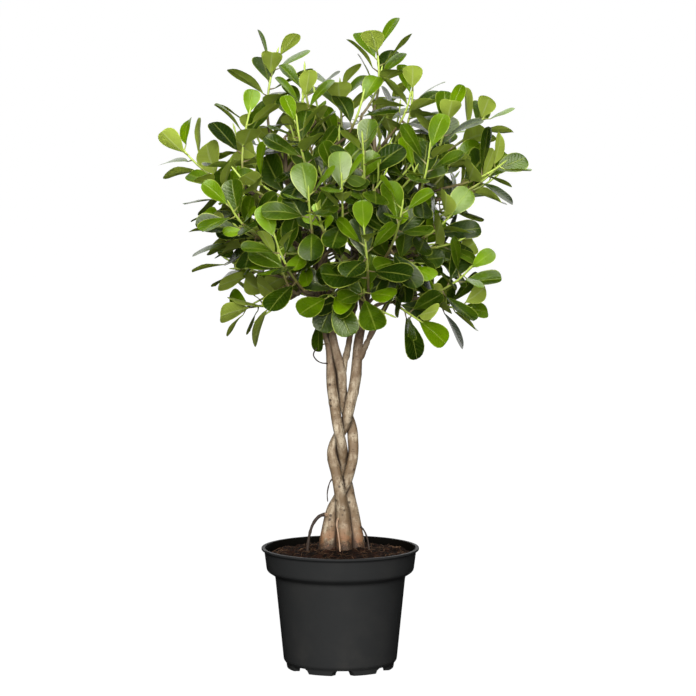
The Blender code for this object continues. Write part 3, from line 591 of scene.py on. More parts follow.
def place_leaves(path, count, name, rng, placed):
    """The leaves of one shoot, from its base to its tip, each turned until it crosses nothing."""
    tangents, normals, binormals = frames(path)
    turn = rng.uniform(0, 360)
    leaves = []
    for index in range(count):
        share = (index + 0.6) / count
        place = between(LEAF_PLACES, share**PLACE_POWER)
        spot = place * (len(path) - 1)
        low = min(int(spot), len(path) - 2)
        blend = spot - low
        start = path[low] * (1 - blend) + path[low + 1] * blend
        axis = unit(tangents[low] * (1 - blend) + tangents[low + 1] * blend)
        turn += GOLDEN_DEG
        size = between(LEAF_LENGTH, share**LENGTH_POWER)
        pitch = between(LEAF_PITCH_DEG, share)
        level = LIGHT_PULL * math.sqrt(max(0.0, 1.0 - axis[2] ** 2)) + LEAST_LIGHT
        outward = unit(start - np.array(CROWN_HEART))
        turned = between(OUTWARD_PULL, share)
        light = level * np.array([0.0, 0.0, 1.0]) + turned * outward
        found = None
        for attempt in range(LEAF_TRIES):
            loose = LOOSE_DEG[0] + LOOSE_DEG[1] * attempt
            azimuth = math.radians(turn + rng.uniform(-loose, loose))
            tilt = pitch + rng.uniform(-loose, loose) * 0.7
            tilt = math.radians(min(PITCH_LIMITS_DEG[1], max(PITCH_LIMITS_DEG[0], tilt)))
            along, face, radial = leaf_frame(axis, azimuth, tilt, normals[low], binormals[low], light)
            length = size * rng.uniform(*LENGTH_RANGE) * (1.0 - TRY_SHRINK * attempt)
            petiole = PETIOLE_LENGTH * rng.uniform(*PETIOLE_RANGE)
            leaf = {
                "place": place,
                "stalk": (start, radial, along, face, petiole),
                "length": length,
                "half_width": length * LEAF_WIDTH_RATIO / 2 * rng.uniform(*WIDTH_RANGE),
                "curl": rng.uniform(*CURL_RANGE),
            }
            stalk_clear = placed.clear_of(*petiole_tube(leaf, CLEAR), skip=(name,))
            if stalk_clear and placed.clear_of(*leaf_box(leaf, CLEAR)):
                found = leaf
                break
        if found:
            placed.add(leaf_points(found), [(2, 1, 0)] + list(BLADE_FACES), name + "_leaf")
            placed.add(*petiole_tube(found, 0.0), name + "_leaf")
            leaves.append(found)
    return leaves


def stem_parts(name, spine):
    """The trunk, boughs and aerial roots of one stem as (path, radii, sides)."""
    parts = []
    trunk = smooth_curve(spine, TRUNK_RINGS)
    parts.append((trunk[:, :3], trunk[:, 3], TRUNK_SIDES))
    limbs = [trunk[trunk[:, 2] > CROWN_START]]
    for bough in BOUGHS[name]:
        curve = smooth_curve(bough, LIMB_RINGS)
        parts.append((curve[:, :3], curve[:, 3], LIMB_SIDES))
        limbs.append(curve[2:])
    for root in AERIAL_ROOTS[name]:
        curve = smooth_curve(root, ROOT_RINGS)
        parts.append((curve[:, :3], curve[:, 3], LIMB_SIDES))
    return parts, limbs


def grow():
    """Every woody part by stem, every shoot's path and every leaf, with nothing crossing."""
    placed = Placed()
    spines = {"stem_left": STEM_LEFT, "stem_middle": STEM_MIDDLE, "stem_right": STEM_RIGHT}
    wood = {}
    limbs = []
    for name, spine in spines.items():
        wood[name], own_limbs = stem_parts(name, spine)
        limbs += [(name, limb) for limb in own_limbs]
        for path, radii, sides in wood[name]:
            placed.add(*tube(path, radii, sides), name)
    twigs = []
    for index, (base, tip, count) in enumerate(shoot_list()):
        name = f"shoot_{index + 1:02d}"
        rng = random.Random(FIRST_SEED + index)
        path, stem, bough = settle_shoot(base, tip, limbs, placed, rng)
        wood[stem].append(bough)
        placed.add(*tube(*bough), stem)
        placed.add(*twig_tube(path, 0.0), name)
        twigs.append((name, path, count, rng))
    shoots = []
    for name, path, count, rng in twigs:
        leaves = place_leaves(path, count, name, rng, placed)
        shoots.append((name, path, leaves))
    return wood, shoots, limbs, placed


# Side shoots that fill the crown. Rounds: seed, spots tried, tries for a spot, lowest and highest spot
FILL_ROUNDS = ((77, 190, 9, 0.0, 900.0), (31, 90, 16, 385.0, 560.0))
FILL_HEART_SHIFT = (0.0, 6.0, 40.0)
FILL_SAMPLES = 3600
FILL_SHELL = (0.15, 0.78)
FILL_CONE_DEG = 11.0
FILL_LIMIT = 0.94
FILL_LEAVES = (5, 7)
FILL_LENGTH = (46.0, 64.0)
FILL_LEAN = (-0.35, 0.35)
FILL_RISE = 0.45
FILL_BELOW_ABOVE = (0.6, 0.4)
FILL_SHIFT_STEP = 2.5
FILL_SHIFT_LIMIT = 20.0
FILL_LIMBS = 3

# Shoots set one by one: base, tip, leaves, leaf size and how much younger than the rest they are
SET_SEED = 5
SET_TRIES = 90
SET_SHOOTS = (
    ((-28.0, -138.0, 535.0), (-38.0, -156.0, 568.0), 6, 0.42, 0.7),
    ((-50.0, -128.0, 470.0), (-62.0, -142.0, 515.0), 6, 0.95, 0.3),
)

# The leaf that hangs beside the fork: start, way of its stalk, way down, way it faces and size
HANGING_START = (-23.5, -6.0, 424.0)
HANGING_WAYS = ((-0.2, -1.0, 0.1), (-0.10, -0.12, -1.0), (-0.80, -0.60, 0.0))
HANGING_SIZE = (36.0, 12.2, 0.25, 6.0)

# Fine leaf: rings along the blade, and points across it from the left margin over the top and back
BLADE_RINGS = (0.0, 0.06, 0.17, 0.31, 0.46, 0.61, 0.75, 0.86, 0.94, 0.985, 1.0)
ACROSS = (-1.0, -0.5, 0.0, 0.5, 1.0, 0.5, 0.0, -0.5)
UNDER = (0.0, 0.0, 0.0, 0.0, 0.0, 1.0, 1.0, 1.0)
PETIOLE_RADIUS = 0.95
BLADE_THICKNESS = 0.45
RIB_DEPTH = 0.95
OUTLINE_RISE = 0.95
OUTLINE_FALL = 0.42

# How each fine blade strays from a flat one, as ranges of random shares of its half-width or length
FOLD_RANGE = (0.03, 0.34)
ROLL_RANGE = (0.0, 0.20)
WAVE_RANGE = (0.01, 0.06)
BEND_RANGE = (-0.06, 0.06)
WAVES_ALONG = 1.4
WAVE_LAG = 1.9

# Tone of a leaf, from old to young: a share by its place on the shoot plus a random share, as (power, most)
TONE_BY_PLACE = (3, 0.52)
TONE_BY_CHANCE = (1.35, 0.32)

# Fine twig, with the distances and the widths of its bud past the last leaf
TWIG_RINGS = 34
TWIG_SUNK = 2.5
TWIG_SWELLING = 0.22
BUD_STEPS = (0.0, 2.0, 4.5, 7.0, 9.5)
BUD_WIDTHS = (1.25, 1.1, 0.7, 0.12)
LEAF_SHARP_DEG = 75.0

# First seeds of the fine pieces
STEM_SEED = 300
SHOOT_SEED = 500
SIDE_SHOOT_SEED = 900

# Fine wood: rings and points round each, by the sides of the solid
WOOD_GRID = {THIN_SIDES: (26, 10), LIMB_SIDES: (70, 18), TRUNK_SIDES: (380, 56)}

# Relief of a trunk as shares of its radius, but knot size, scar width and spacings in mm
FLUTES = ((2, 0.035), (3, 0.03), (5, 0.016))
SWELL_HEIGHTS = (140.0, 180.0, 200.0, 360.0)
SWELL = (1.16, 1.12, 1.06, 1.04)
KNOT_SPACING = 26.0
KNOT_SIZE = (1.4, 3.2)
KNOT_DEPTH = (0.06, 0.17)
SCAR_SPACING = 17.0
SCAR_DEPTH = (0.003, 0.012)
SCAR_WIDTH = 0.9

# How far the painted shade between two trunks reaches, by height
CREASE_HEIGHTS = (146.0, 172.0)
CREASE_REACH = (6.0, 3.0)

# Roots whose path comes nearer to the front than this are pale, the others dark
FRONT_ROOT = -20.0
PALE_ROOTNESS = 0.5
DARK_ROOTNESS = 0.95

# Fine pot: fillets along its half outline from the floor outwards, then one for the rest
POT_FILLETS = (0.0, 0.8, 0.5, 0.9, 1.2, 2.0, 3.0, 1.4, 3.2, 1.6, 0.7, 0.6, 0.6)
INNER_FILLET = 1.5
FILLET_STEPS = 4
WALL_STEP = 9.0
POT_SHARP_DEG = 32.0

# Peat: mound from the middle outwards, ripples as (height, wavelength, seed), banks round the stems
MOUND_RADII = (0.0, 40.0, 72.0, 88.0)
MOUND_HEIGHTS = (SOIL_TOP, SOIL_TOP - 1.2, SOIL_EDGE + 3.6, SOIL_EDGE)
PEAT_LUMPS = ((0.9, 17.0, 5), (0.55, 7.0, 6), (0.4, 3.2, 7))
BANK_HEIGHT = 1.6
BANK_SPREAD = 150.0
PEAT_RADIUS = 86.9
PEAT_RINGS = 120
PEAT_COLUMNS = 260
PEAT_SEED = 41
CRUMB_REACH = 85.5
CRUMB_SIZE = (0.5, 1.9)
CRUMB_FLATNESS = 0.7
FIBRE_REACH = 80.0
FIBRE_LENGTH = (7.0, 22.0)
FIBRE_RADIUS = (0.16, 0.42)
FIBRE_POINTS = 9

# Heights where a finish changes, in metres
DUSTY_WALL = (0.002, 0.05)
FOOT_PATCHES = (0.142, 0.186)
FOOT_STAIN = (0.1475, 0.1600)
STAIN_RAGGEDNESS = 0.030
BROWNER_BARK = (0.32, 0.44)

# Colours that the settings leave alone
DRY_DUST = (0.05, 0.046, 0.04)
# Painted shade inside the pot and painted dark reflection on the top of the rim
INSIDE_AND_RIM_SHADE = (0.003, 0.0026, 0.002)
DRY_SPECK = (0.17, 0.095, 0.05)
DRY_CRUMB = (0.22, 0.125, 0.07)
BROWN_BARK = (0.26, 0.165, 0.11)
BROWN_GRAIN = (0.17, 0.105, 0.055)
DAMP_STAIN = (0.030, 0.017, 0.010)
DARK_SPOT = (0.035, 0.020, 0.012)
DARK_PORE = (0.07, 0.045, 0.028)
DARK_TWIG = (0.075, 0.058, 0.026)
PALE_TWIG = (0.17, 0.13, 0.065)
# Painted shade in the creases between the trunks
CREASE_SHADE = (0.028, 0.016, 0.009)
PALE_ROOT = (0.32, 0.21, 0.135)
DARK_ROOT = (0.022, 0.014, 0.010)
# The pale margins of both leaf sides are painted edge highlights
VEIN_AND_EDGE_HIGHLIGHT_ABOVE = (0.50, 0.58, 0.08)
VEIN_BELOW = (0.52, 0.60, 0.22)
EDGE_HIGHLIGHT_BELOW = (0.62, 0.70, 0.14)
LEAF_SHEEN = (0.95, 1.0, 0.7)
OLD_GLOW = (0.07, 0.15, 0.0)
YOUNG_GLOW = (0.80, 0.92, 0.0)
UNDER_GLOW = (0.72, 0.80, 0.02)
WHITE = (1.0, 1.0, 1.0)
FLOOR_GREY = (0.03, 0.03, 0.03)

# Side veins of a leaf, and a full turn in radians
VEIN_PAIRS = 9.0
FULL_TURN = 2 * math.pi

# Camera and stage, in metres. Lights: the setting that holds the power, place and width
CAMERA_DISTANCE = 4.5
CAMERA_HEIGHT = 0.8476
CAMERA_ASIDE = 0.00935
CAMERA_TILT_DEG = 5.84
FOCAL_PIXELS = 3771.0
PICTURE_PIXELS = 696
SENSOR_MM = 36.0
LIGHTS = (
    ("key", (-0.5, -3.1, 1.95), 2.0),
    ("front", (0.4, -4.4, 1.1), 1.8),
    ("top", (0.3, -0.5, 2.9), 1.6),
    ("back", (0.3, 4.2, 1.7), 4.5),
)
LIGHT_TARGET = (0.0, 0.0, 0.45)
FLOOR_RADII = (0.4, 2.0, 8.0, 30.0, 90.0)
FLOOR_COLUMNS = 64
FLOOR_DROP_MM = 0.4


class Shape:
    """Points, faces and what the finish needs at each point, gathered from many like parts."""

    def __init__(self):
        self.points = []
        self.faces = []
        self.slots = []
        self.uvs = []
        self.tones = []
        self.count = 0

    def add(self, points, blocks, uv=None, tone=0.5):
        """Points (n, 3) with blocks of (faces (m, k), material slot) and a map (n, 2).

        The tone is one value, or one for each point.
        """
        points = np.asarray(points, dtype=float).reshape(-1, 3)
        for faces, slot in blocks:
            faces = np.asarray(faces, dtype=np.int64)
            self.faces.append(faces + self.count)
            self.slots.append(np.full(len(faces), slot))
        self.points.append(points)
        self.uvs.append(np.zeros((len(points), 2)) if uv is None else np.asarray(uv, float).reshape(-1, 2))
        self.tones.append(np.broadcast_to(np.asarray(tone, float), (len(points),)))
        self.count += len(points)

    def build(self, name, materials, sharp_deg=180.0):
        """The mesh object, in metres, at the origin."""
        mesh = bpy.data.meshes.new(name)
        points = np.concatenate(self.points) * MM
        mesh.vertices.add(len(points))
        mesh.vertices.foreach_set("co", points.astype(np.float32).ravel())
        sizes = np.concatenate([np.full(len(faces), faces.shape[1]) for faces in self.faces])
        corners = np.concatenate([faces.ravel() for faces in self.faces])
        mesh.loops.add(len(corners))
        mesh.loops.foreach_set("vertex_index", corners.astype(np.int32))
        mesh.polygons.add(len(sizes))
        mesh.polygons.foreach_set("loop_start", (np.cumsum(sizes) - sizes).astype(np.int32))
        mesh.polygons.foreach_set("material_index", np.concatenate(self.slots).astype(np.int32))
        layer = mesh.uv_layers.new(name="along_across")
        layer.data.foreach_set("uv", np.concatenate(self.uvs)[corners].astype(np.float32).ravel())
        tone = mesh.attributes.new("tone", "FLOAT", "POINT")
        tone.data.foreach_set("value", np.concatenate(self.tones).astype(np.float32))
        mesh.update(calc_edges=True)
        mesh.validate()
        mesh.shade_smooth()
        if sharp_deg < 180.0:
            mesh.set_sharp_from_angle(angle=math.radians(sharp_deg))
        for material in materials:
            mesh.materials.append(material)
        item = bpy.data.objects.new(name, mesh)
        bpy.context.scene.collection.objects.link(item)
        return item


def settle(item, slot, *nodes):
    """The piece rides on the plant's one body and stands for its solids, which are hidden. The slot is not
    used.
    """
    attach(item, BODY)
    if nodes:
        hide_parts(*nodes)


def ripple(points, wavelength, seed, waves=24):
    """Smooth noise near -1..1 at each point: a sum of sine waves, each with a random way and phase.

    Their lengths lie round the wavelength.
    """
    rng = np.random.default_rng(seed)
    directions = each_unit(rng.normal(size=(waves, 3)))
    lengths = wavelength * rng.uniform(0.6, 1.7, waves)
    phases = rng.uniform(0, FULL_TURN, waves)
    heights = np.sin(points @ (directions * (FULL_TURN / lengths)[:, None]).T + phases)
    return heights.sum(axis=-1) * 1.4 / math.sqrt(waves)


def grid_faces(rows, columns):
    """Quads of a grid of rows of points whose columns close on themselves."""
    row, column = np.meshgrid(np.arange(rows - 1), np.arange(columns), indexing="ij")
    after = (column + 1) % columns
    return np.stack([row * columns + column, row * columns + after, (row + 1) * columns + after,
                     (row + 1) * columns + column], axis=-1).reshape(-1, 4)


def bar(shape, path, radii, sides, slot=0, tone=0.5, finish=None):
    """A closed round bar: at each path point a circle of points at the radii (rings, or rings by sides).

    The finish, if given, is a function of the points (rings, sides, 3) that returns two values for each.
    """
    _, normals, binormals = frames(path)
    radii = np.asarray(radii, float)
    radii = radii[:, None] if radii.ndim == 1 else radii
    angles = (np.arange(sides) + 0.5) * 2 * math.pi / sides
    points = path[:, None] + radii[..., None] * circles(angles, normals, binormals)
    ring = np.arange(sides)
    tone = np.broadcast_to(np.asarray(tone, float), (len(path),))
    shape.add(points, [(grid_faces(len(path), sides), slot), (ring[None, ::-1], slot),
                       (ring[None] + (len(path) - 1) * sides, slot)],
              finish(points) if finish else None, np.repeat(tone, sides))


# Finishes. Noise scales are in waves for each metre


class Nodes:
    """A node tree and the steps that finishes are made of. Each step takes values or sockets."""

    def __init__(self, tree):
        self.tree = tree

    def feed(self, node, inputs):
        """Sets inputs of a node to values, or links sockets to them. A colour needs only three values."""
        for name, value in inputs.items():
            socket = node.inputs[name]
            if isinstance(value, bpy.types.NodeSocket):
                self.tree.links.new(value, socket)
            elif socket.type == "RGBA":
                socket.default_value = (*value[:3], 1.0)
            else:
                socket.default_value = value
        return node

    def add(self, kind, inputs=None, **settings):
        """A node with its settings and inputs."""
        made = self.tree.nodes.new(kind)
        for name, value in settings.items():
            setattr(made, name, value)
        return self.feed(made, inputs or {})

    def blend(self, share, first, second):
        """The colour that goes from the first to the second as the share goes from 0 to 1."""
        return self.add("ShaderNodeMix", {0: share, 6: first, 7: second}, data_type="RGBA").outputs[2]

    def coats(self, base, coats):
        """The base colour under coats, each a share that covers and a colour."""
        for share, colour in coats:
            base = self.blend(share, base, colour)
        return base

    def sums(self, kind, first, second=0.0, third=0.0):
        """One step of arithmetic on values."""
        return self.add("ShaderNodeMath", {0: first, 1: second, 2: third}, operation=kind).outputs[0]

    def times(self, first, second):
        """The product of two values."""
        return self.sums("MULTIPLY", first, second)

    def times_plus(self, first, second, third):
        """The product of two values, plus a third one."""
        return self.sums("MULTIPLY_ADD", first, second, third)

    def ramp(self, value, low, high, start=0.0, end=1.0):
        """The value eased from start to end while it goes from low to high."""
        limits = {"Value": value, "From Min": low, "From Max": high, "To Min": start, "To Max": end}
        return self.add("ShaderNodeMapRange", limits, interpolation_type="SMOOTHSTEP").outputs[0]

    def place(self):
        """Where the surface is, in the object's own space."""
        return self.tree.nodes.new("ShaderNodeTexCoord").outputs["Object"]

    def drawn_out(self, place, factor):
        """The place with its height multiplied, so that a pattern on it is squashed or drawn out."""
        return self.add("ShaderNodeMapping", {"Vector": place, "Scale": (1.0, 1.0, factor)}).outputs[0]

    def noise(self, place, scale, detail=2.0, roughness=0.5):
        """Cloudy noise from 0 to 1 at a place."""
        return self.add("ShaderNodeTexNoise", {"Vector": place, "Scale": scale, "Detail": detail,
                                               "Roughness": roughness}).outputs[0]

    def cells(self, place, scale):
        """Distance from the nearest of many scattered points."""
        return self.add("ShaderNodeTexVoronoi", {"Vector": place, "Scale": scale}).outputs["Distance"]

    def tone(self):
        """The tone that the mesh holds at each point."""
        return self.add("ShaderNodeAttribute", attribute_name="tone").outputs["Fac"]

    def own_map(self):
        """The two values of the piece's own map."""
        given = self.add("ShaderNodeUVMap", uv_map="along_across").outputs[0]
        return self.add("ShaderNodeSeparateXYZ", {0: given}).outputs[:2]

    def height(self, place):
        """The height of a place."""
        return self.add("ShaderNodeSeparateXYZ", {0: place}).outputs[2]

    def mottle(self, scale, fine_scale):
        """Broad and fine cloudy variation, with a noise scale for each."""
        inputs = {"Scale": scale, "Fine scale": fine_scale}
        return self.add("ShaderNodeGroup", inputs, node_tree=mottle_group()).outputs[:]

    def blade(self, rib_width):
        """Midrib, side veins and margin of a leaf."""
        inputs = {"Vein pairs": VEIN_PAIRS, "Rib width": rib_width}
        return self.add("ShaderNodeGroup", inputs, node_tree=blade_group()).outputs[:]

    def bump(self, shader, height, distance, strength):
        """Small relief: its height from 0 to 1, its depth in metres and how much of it shows."""
        made = self.add("ShaderNodeBump", {"Height": height, "Distance": distance, "Strength": strength})
        self.feed(shader, {"Normal": made.outputs[0]})

    def show(self, output, node):
        """Sends the shader of a node to the tree's output."""
        self.feed(self.tree.nodes[output], {"Surface": node.outputs[0]})


def new_group(name, inputs, outputs):
    """An empty node group with named float inputs and outputs, and the nodes of both."""
    group = bpy.data.node_groups.new(name, "ShaderNodeTree")
    for label, value in inputs.items():
        group.interface.new_socket(label, in_out="INPUT", socket_type="NodeSocketFloat").default_value = value
    for label in outputs:
        group.interface.new_socket(label, in_out="OUTPUT", socket_type="NodeSocketFloat")
    return group, group.nodes.new("NodeGroupInput").outputs, group.nodes.new("NodeGroupOutput")


def mottle_group():
    """Broad and fine cloudy variation in the object's own space, used by every finish."""
    found = bpy.data.node_groups.get("mottle")
    if found:
        return found
    group, given, made = new_group("mottle", {"Scale": 60.0, "Fine scale": 500.0}, ("Broad", "Fine"))
    tree = Nodes(group)
    place = tree.place()
    tree.feed(made, {"Broad": tree.noise(place, given["Scale"], 3.0),
                     "Fine": tree.noise(place, given["Fine scale"], 4.0, 0.6)})
    return group


def blade_group():
    """Midrib, side veins and margin of a leaf from its own map: along the blade first, across it second."""
    found = bpy.data.node_groups.get("blade_pattern")
    if found:
        return found
    group, given, made = new_group("blade_pattern", {"Vein pairs": VEIN_PAIRS, "Rib width": 0.05},
                                   ("Midrib", "Veins", "Margin"))
    tree = Nodes(group)
    along, across = tree.own_map()
    across = tree.sums("ABSOLUTE", tree.times_plus(across, 2.0, -1.0))
    rib_width = tree.times(given["Rib width"], tree.times_plus(along, -0.7, 1.3))
    slant = tree.times_plus(across, -0.26, along)
    phase = tree.sums("FRACT", tree.times(slant, given["Vein pairs"]))
    line = tree.ramp(tree.sums("ABSOLUTE", tree.sums("SUBTRACT", phase, 0.5)), 0.02, 0.16, 1.0, 0.0)
    tree.feed(made, {"Midrib": tree.ramp(across, rib_width, tree.times(rib_width, 2.2), 1.0, 0.0),
                     "Veins": tree.times(line, tree.ramp(across, 0.72, 0.95, 1.0, 0.0)),
                     "Margin": tree.ramp(across, 0.90, 0.985)})
    return group


def new_material(name):
    """A material with its node tree and its Principled shader."""
    material = bpy.data.materials.new(name)
    material.use_nodes = True
    return material, Nodes(material.node_tree), material.node_tree.nodes["Principled BSDF"]


def pot_material(colour, roughness):
    """Thin black plastic: satin, with a fine moulded grain and a little dry dust low on the wall.

    The tone is 1 on the top of the rim and inside, where the plastic is painted darker: painted shade inside
    the pot and a painted dark reflection on the top of the rim.
    """
    material, tree, shader = new_material("black_pot_plastic")
    broad, fine = tree.mottle(34.0, 1500.0)
    low = tree.ramp(tree.height(tree.place()), *DUSTY_WALL, 1.0, 0.0)
    dust = tree.times(tree.ramp(broad, 0.42, 0.8), tree.times_plus(low, 0.2, 0.08))
    # The tone coat is painted shade inside the pot and a painted dark reflection on the top of the rim
    tree.feed(shader, {"Base Color": tree.coats(colour, ((dust, DRY_DUST), (tree.tone(), INSIDE_AND_RIM_SHADE))),
                       "Roughness": tree.times_plus(broad, 0.14, roughness - 0.07),
                       "Specular IOR Level": 0.04})
    tree.bump(shader, fine, 0.00012, 0.5)
    return material


def soil_material(dark, warm):
    """Moist peat: nearly black, with reddish brown fibres and paler dry specks. Crumbs are dry by tone."""
    material, tree, shader = new_material("moist_peat")
    broad, fine = tree.mottle(150.0, 900.0)
    base = tree.blend(tree.ramp(broad, 0.38, 0.72), dark, warm)
    specks = tree.times(tree.ramp(fine, 0.62, 0.76), 0.22)
    tree.feed(shader, {"Base Color": tree.coats(base, ((specks, DRY_SPECK), (tree.tone(), DRY_CRUMB))),
                       "Roughness": 0.9,
                       "Specular IOR Level": 0.08})
    tree.bump(shader, fine, 0.0012, 0.8)
    return material


def bark_material(pale, dark, foot):
    """Smooth fig bark: beige grey with darker clouds, short dark pores and cross wrinkles.

    It is redder and stained near the soil. The tone goes from 0 on the thinnest twigs, which are olive
    brown, to 1 on the trunk. The map holds how near the other trunks are, and how pale or dark a root is.
    Near the other trunks the bark is darkened: painted shade in the creases between them.
    """
    _, tree, shader = new_material("fig_bark")
    broad, fine = tree.mottle(55.0, 640.0)
    place = tree.place()
    height = tree.height(place)
    nearness, root = tree.own_map()
    squashed = tree.drawn_out(place, 3.2)
    wrinkles = tree.noise(squashed, 210.0, 3.0, 0.6)
    streaks = tree.noise(tree.drawn_out(place, 0.28), 260.0, 3.0, 0.6)
    pores = tree.ramp(tree.cells(squashed, 170.0), 0.10, 0.24, 1.0, 0.0)
    spots = tree.ramp(tree.cells(place, 80.0), 0.09, 0.19, 1.0, 0.0)
    clouds = tree.ramp(broad, 0.35, 0.68)
    patches = tree.times(tree.ramp(height, *FOOT_PATCHES, 1.0, 0.0),
                         tree.ramp(tree.noise(place, 120.0, 3.0), 0.34, 0.56))
    ragged = tree.times_plus(tree.noise(place, 260.0, 3.0, 0.7), STAIN_RAGGEDNESS,
                             tree.sums("SUBTRACT", height, STAIN_RAGGEDNESS / 2))
    old = tree.coats(tree.blend(clouds, dark, pale), (
        (tree.times(tree.ramp(streaks, 0.42, 0.64), 0.80), dark),
        (tree.ramp(height, *BROWNER_BARK, 0.0, 0.5), BROWN_BARK),
        (patches, foot),
        (tree.ramp(ragged, *FOOT_STAIN, 0.95, 0.0), DAMP_STAIN),
        (tree.times(tree.ramp(fine, 0.50, 0.72), 0.70), BROWN_GRAIN),
        (tree.times(spots, 0.85), DARK_SPOT),
        (tree.times(pores, 0.75), DARK_PORE),
    ))
    young = tree.blend(clouds, DARK_TWIG, PALE_TWIG)
    # Painted shade: the bark darkens where another trunk is near, as shade falls in the crease
    crease_shade = tree.times(tree.ramp(nearness, 0.0, 0.8), tree.ramp(broad, 0.2, 0.6, 0.75, 0.98))
    base = tree.coats(tree.blend(tree.tone(), young, old), (
        (crease_shade, CREASE_SHADE),
        (tree.ramp(root, 0.0, 0.5), PALE_ROOT),
        (tree.ramp(root, 0.5, 1.0), DARK_ROOT),
    ))
    tree.feed(shader, {"Base Color": base, "Roughness": tree.times_plus(broad, 0.25, 0.55),
                       "Specular IOR Level": 0.3})
    relief = tree.times_plus(wrinkles, 0.55, tree.times_plus(streaks, 0.6, tree.times(pores, -0.6)))
    tree.bump(shader, tree.times_plus(fine, 0.25, relief), 0.0011, 0.75)


def let_light_through(tree, shader, colour, share):
    """A thin blade lets part of the light through from its other side."""
    glow = tree.add("ShaderNodeBsdfTranslucent", {"Color": colour})
    both = tree.add("ShaderNodeMixShader", {0: share, 1: shader.outputs[0], 2: glow.outputs[0]})
    tree.show("Material Output", both)


def leaf_top_material(old, young, roughness):
    """Upper side of a leaf: glossy green, with a pale midrib, faint side veins and a thin pale margin that is
    a painted edge highlight.
    """
    _, tree, shader = new_material("leaf_top")
    broad, fine = tree.mottle(38.0, 330.0)
    midrib, veins, margin = tree.blade(0.045)
    youth = tree.ramp(tree.times_plus(broad, 0.5, tree.sums("SUBTRACT", tree.tone(), 0.25)), 0.0, 1.0)
    base = tree.coats(tree.blend(youth, old, young), (
        (tree.times(veins, 0.045), VEIN_AND_EDGE_HIGHLIGHT_ABOVE),
        (tree.times(midrib, 0.20), VEIN_AND_EDGE_HIGHLIGHT_ABOVE),
        # Painted highlight: the pale margin line stands in for light caught along the leaf's edge
        (tree.times(margin, 0.55), VEIN_AND_EDGE_HIGHLIGHT_ABOVE),
    ))
    tree.feed(shader, {"Base Color": base, "Roughness": tree.times_plus(broad, 0.12, roughness - 0.06),
                       "Specular IOR Level": 0.55, "Specular Tint": LEAF_SHEEN})
    dents = tree.times_plus(veins, -0.35, tree.times(midrib, -0.9))
    tree.bump(shader, tree.times_plus(fine, 0.05, dents), 0.0006, 0.6)
    let_light_through(tree, shader, tree.blend(youth, OLD_GLOW, YOUNG_GLOW), 0.28)


def leaf_under_material(colour):
    """Lower side of a leaf: pale matt green with a raised midrib, fine veins and a painted edge highlight
    along the margin.
    """
    _, tree, shader = new_material("leaf_under")
    broad, _ = tree.mottle(45.0, 600.0)
    midrib, veins, margin = tree.blade(0.06)
    deep = [0.72 * value for value in colour]
    base = tree.coats(tree.blend(tree.ramp(broad, 0.3, 0.7), deep, colour), (
        (tree.times(veins, 0.14), VEIN_BELOW),
        (tree.times(midrib, 0.45), VEIN_BELOW),
        # Painted highlight: the pale margin line stands in for light caught along the leaf's edge
        (tree.times(margin, 0.7), EDGE_HIGHLIGHT_BELOW),
    ))
    tree.feed(shader, {"Base Color": base, "Roughness": tree.times_plus(broad, 0.1, 0.55),
                       "Specular IOR Level": 0.2})
    tree.bump(shader, tree.times_plus(veins, 0.4, midrib), 0.0005, 0.6)
    let_light_through(tree, shader, UNDER_GLOW, 0.30)


def stalk_material(green, woody):
    """Twigs and leaf stalks: yellow green at the tips, browner and rougher towards the wood."""
    _, tree, shader = new_material("green_twig")
    broad, fine = tree.mottle(140.0, 900.0)
    youth = tree.times_plus(broad, 0.4, tree.sums("SUBTRACT", tree.tone(), 0.2))
    tree.feed(shader, {"Base Color": tree.blend(tree.ramp(youth, 0.1, 0.9), woody, green), "Roughness": 0.45})
    tree.bump(shader, fine, 0.0004, 0.5)


# Filling the crown


@functools.lru_cache(maxsize=1)
def plant():
    """Wood by stem, the shoots that the solids show, and the side shoots that fill the crown."""
    wood, shoots, limbs, placed = grow()
    fills = fill_crown(wood, shoots, limbs, placed)
    return wood, shoots, fills


def leaf_tip(leaf):
    """The tip of a leaf."""
    return leaf_points(leaf)[-1]


def leaf_middle(leaf):
    """A point near the middle of a blade."""
    return leaf_points(leaf)[3:6].mean(axis=0)


class Reach:
    """How far the crown reaches in a direction: the second furthest leaf tip within a cone round it."""

    def __init__(self, heart, tips):
        self.heart = heart
        self.distance = np.linalg.norm(tips - heart, axis=1)
        self.bearing = (tips - heart) / self.distance[:, None]

    def share(self, places):
        """Distance of each place from the heart over the reach there, large where no leaf lies that way."""
        away = np.linalg.norm(places - self.heart, axis=1)
        narrow = math.cos(math.radians(FILL_CONE_DEG))
        near = ((places - self.heart) / away[:, None]) @ self.bearing.T > narrow
        limit = np.sort(np.where(near, self.distance[None], 0.0), axis=1)[:, -2]
        return np.where(limit > 0.0, away / np.maximum(limit, 1.0), 9.0)


def fill_crown(wood, shoots, limbs, placed):
    """The listed shoots, then side shoots one after another in the widest gap of the crown."""
    heart = np.array(CROWN_HEART) + np.array(FILL_HEART_SHIFT)
    tips = np.array([leaf_tip(leaf) for _, _, leaves in shoots for leaf in leaves])
    middles = [leaf_middle(leaf) for _, _, leaves in shoots for leaf in leaves]
    reach = Reach(heart, tips)
    box = (tips.min(axis=0), tips.max(axis=0))
    fills = set_shoots(limbs, placed)
    for _, _, leaves, stem, bough in fills:
        if bough:
            wood[stem].append(bough)
        middles += [leaf_middle(leaf) for leaf in leaves]
    for fill_round in FILL_ROUNDS:
        fill_gaps(fill_round, wood, limbs, placed, reach, box, middles, fills)
    return fills


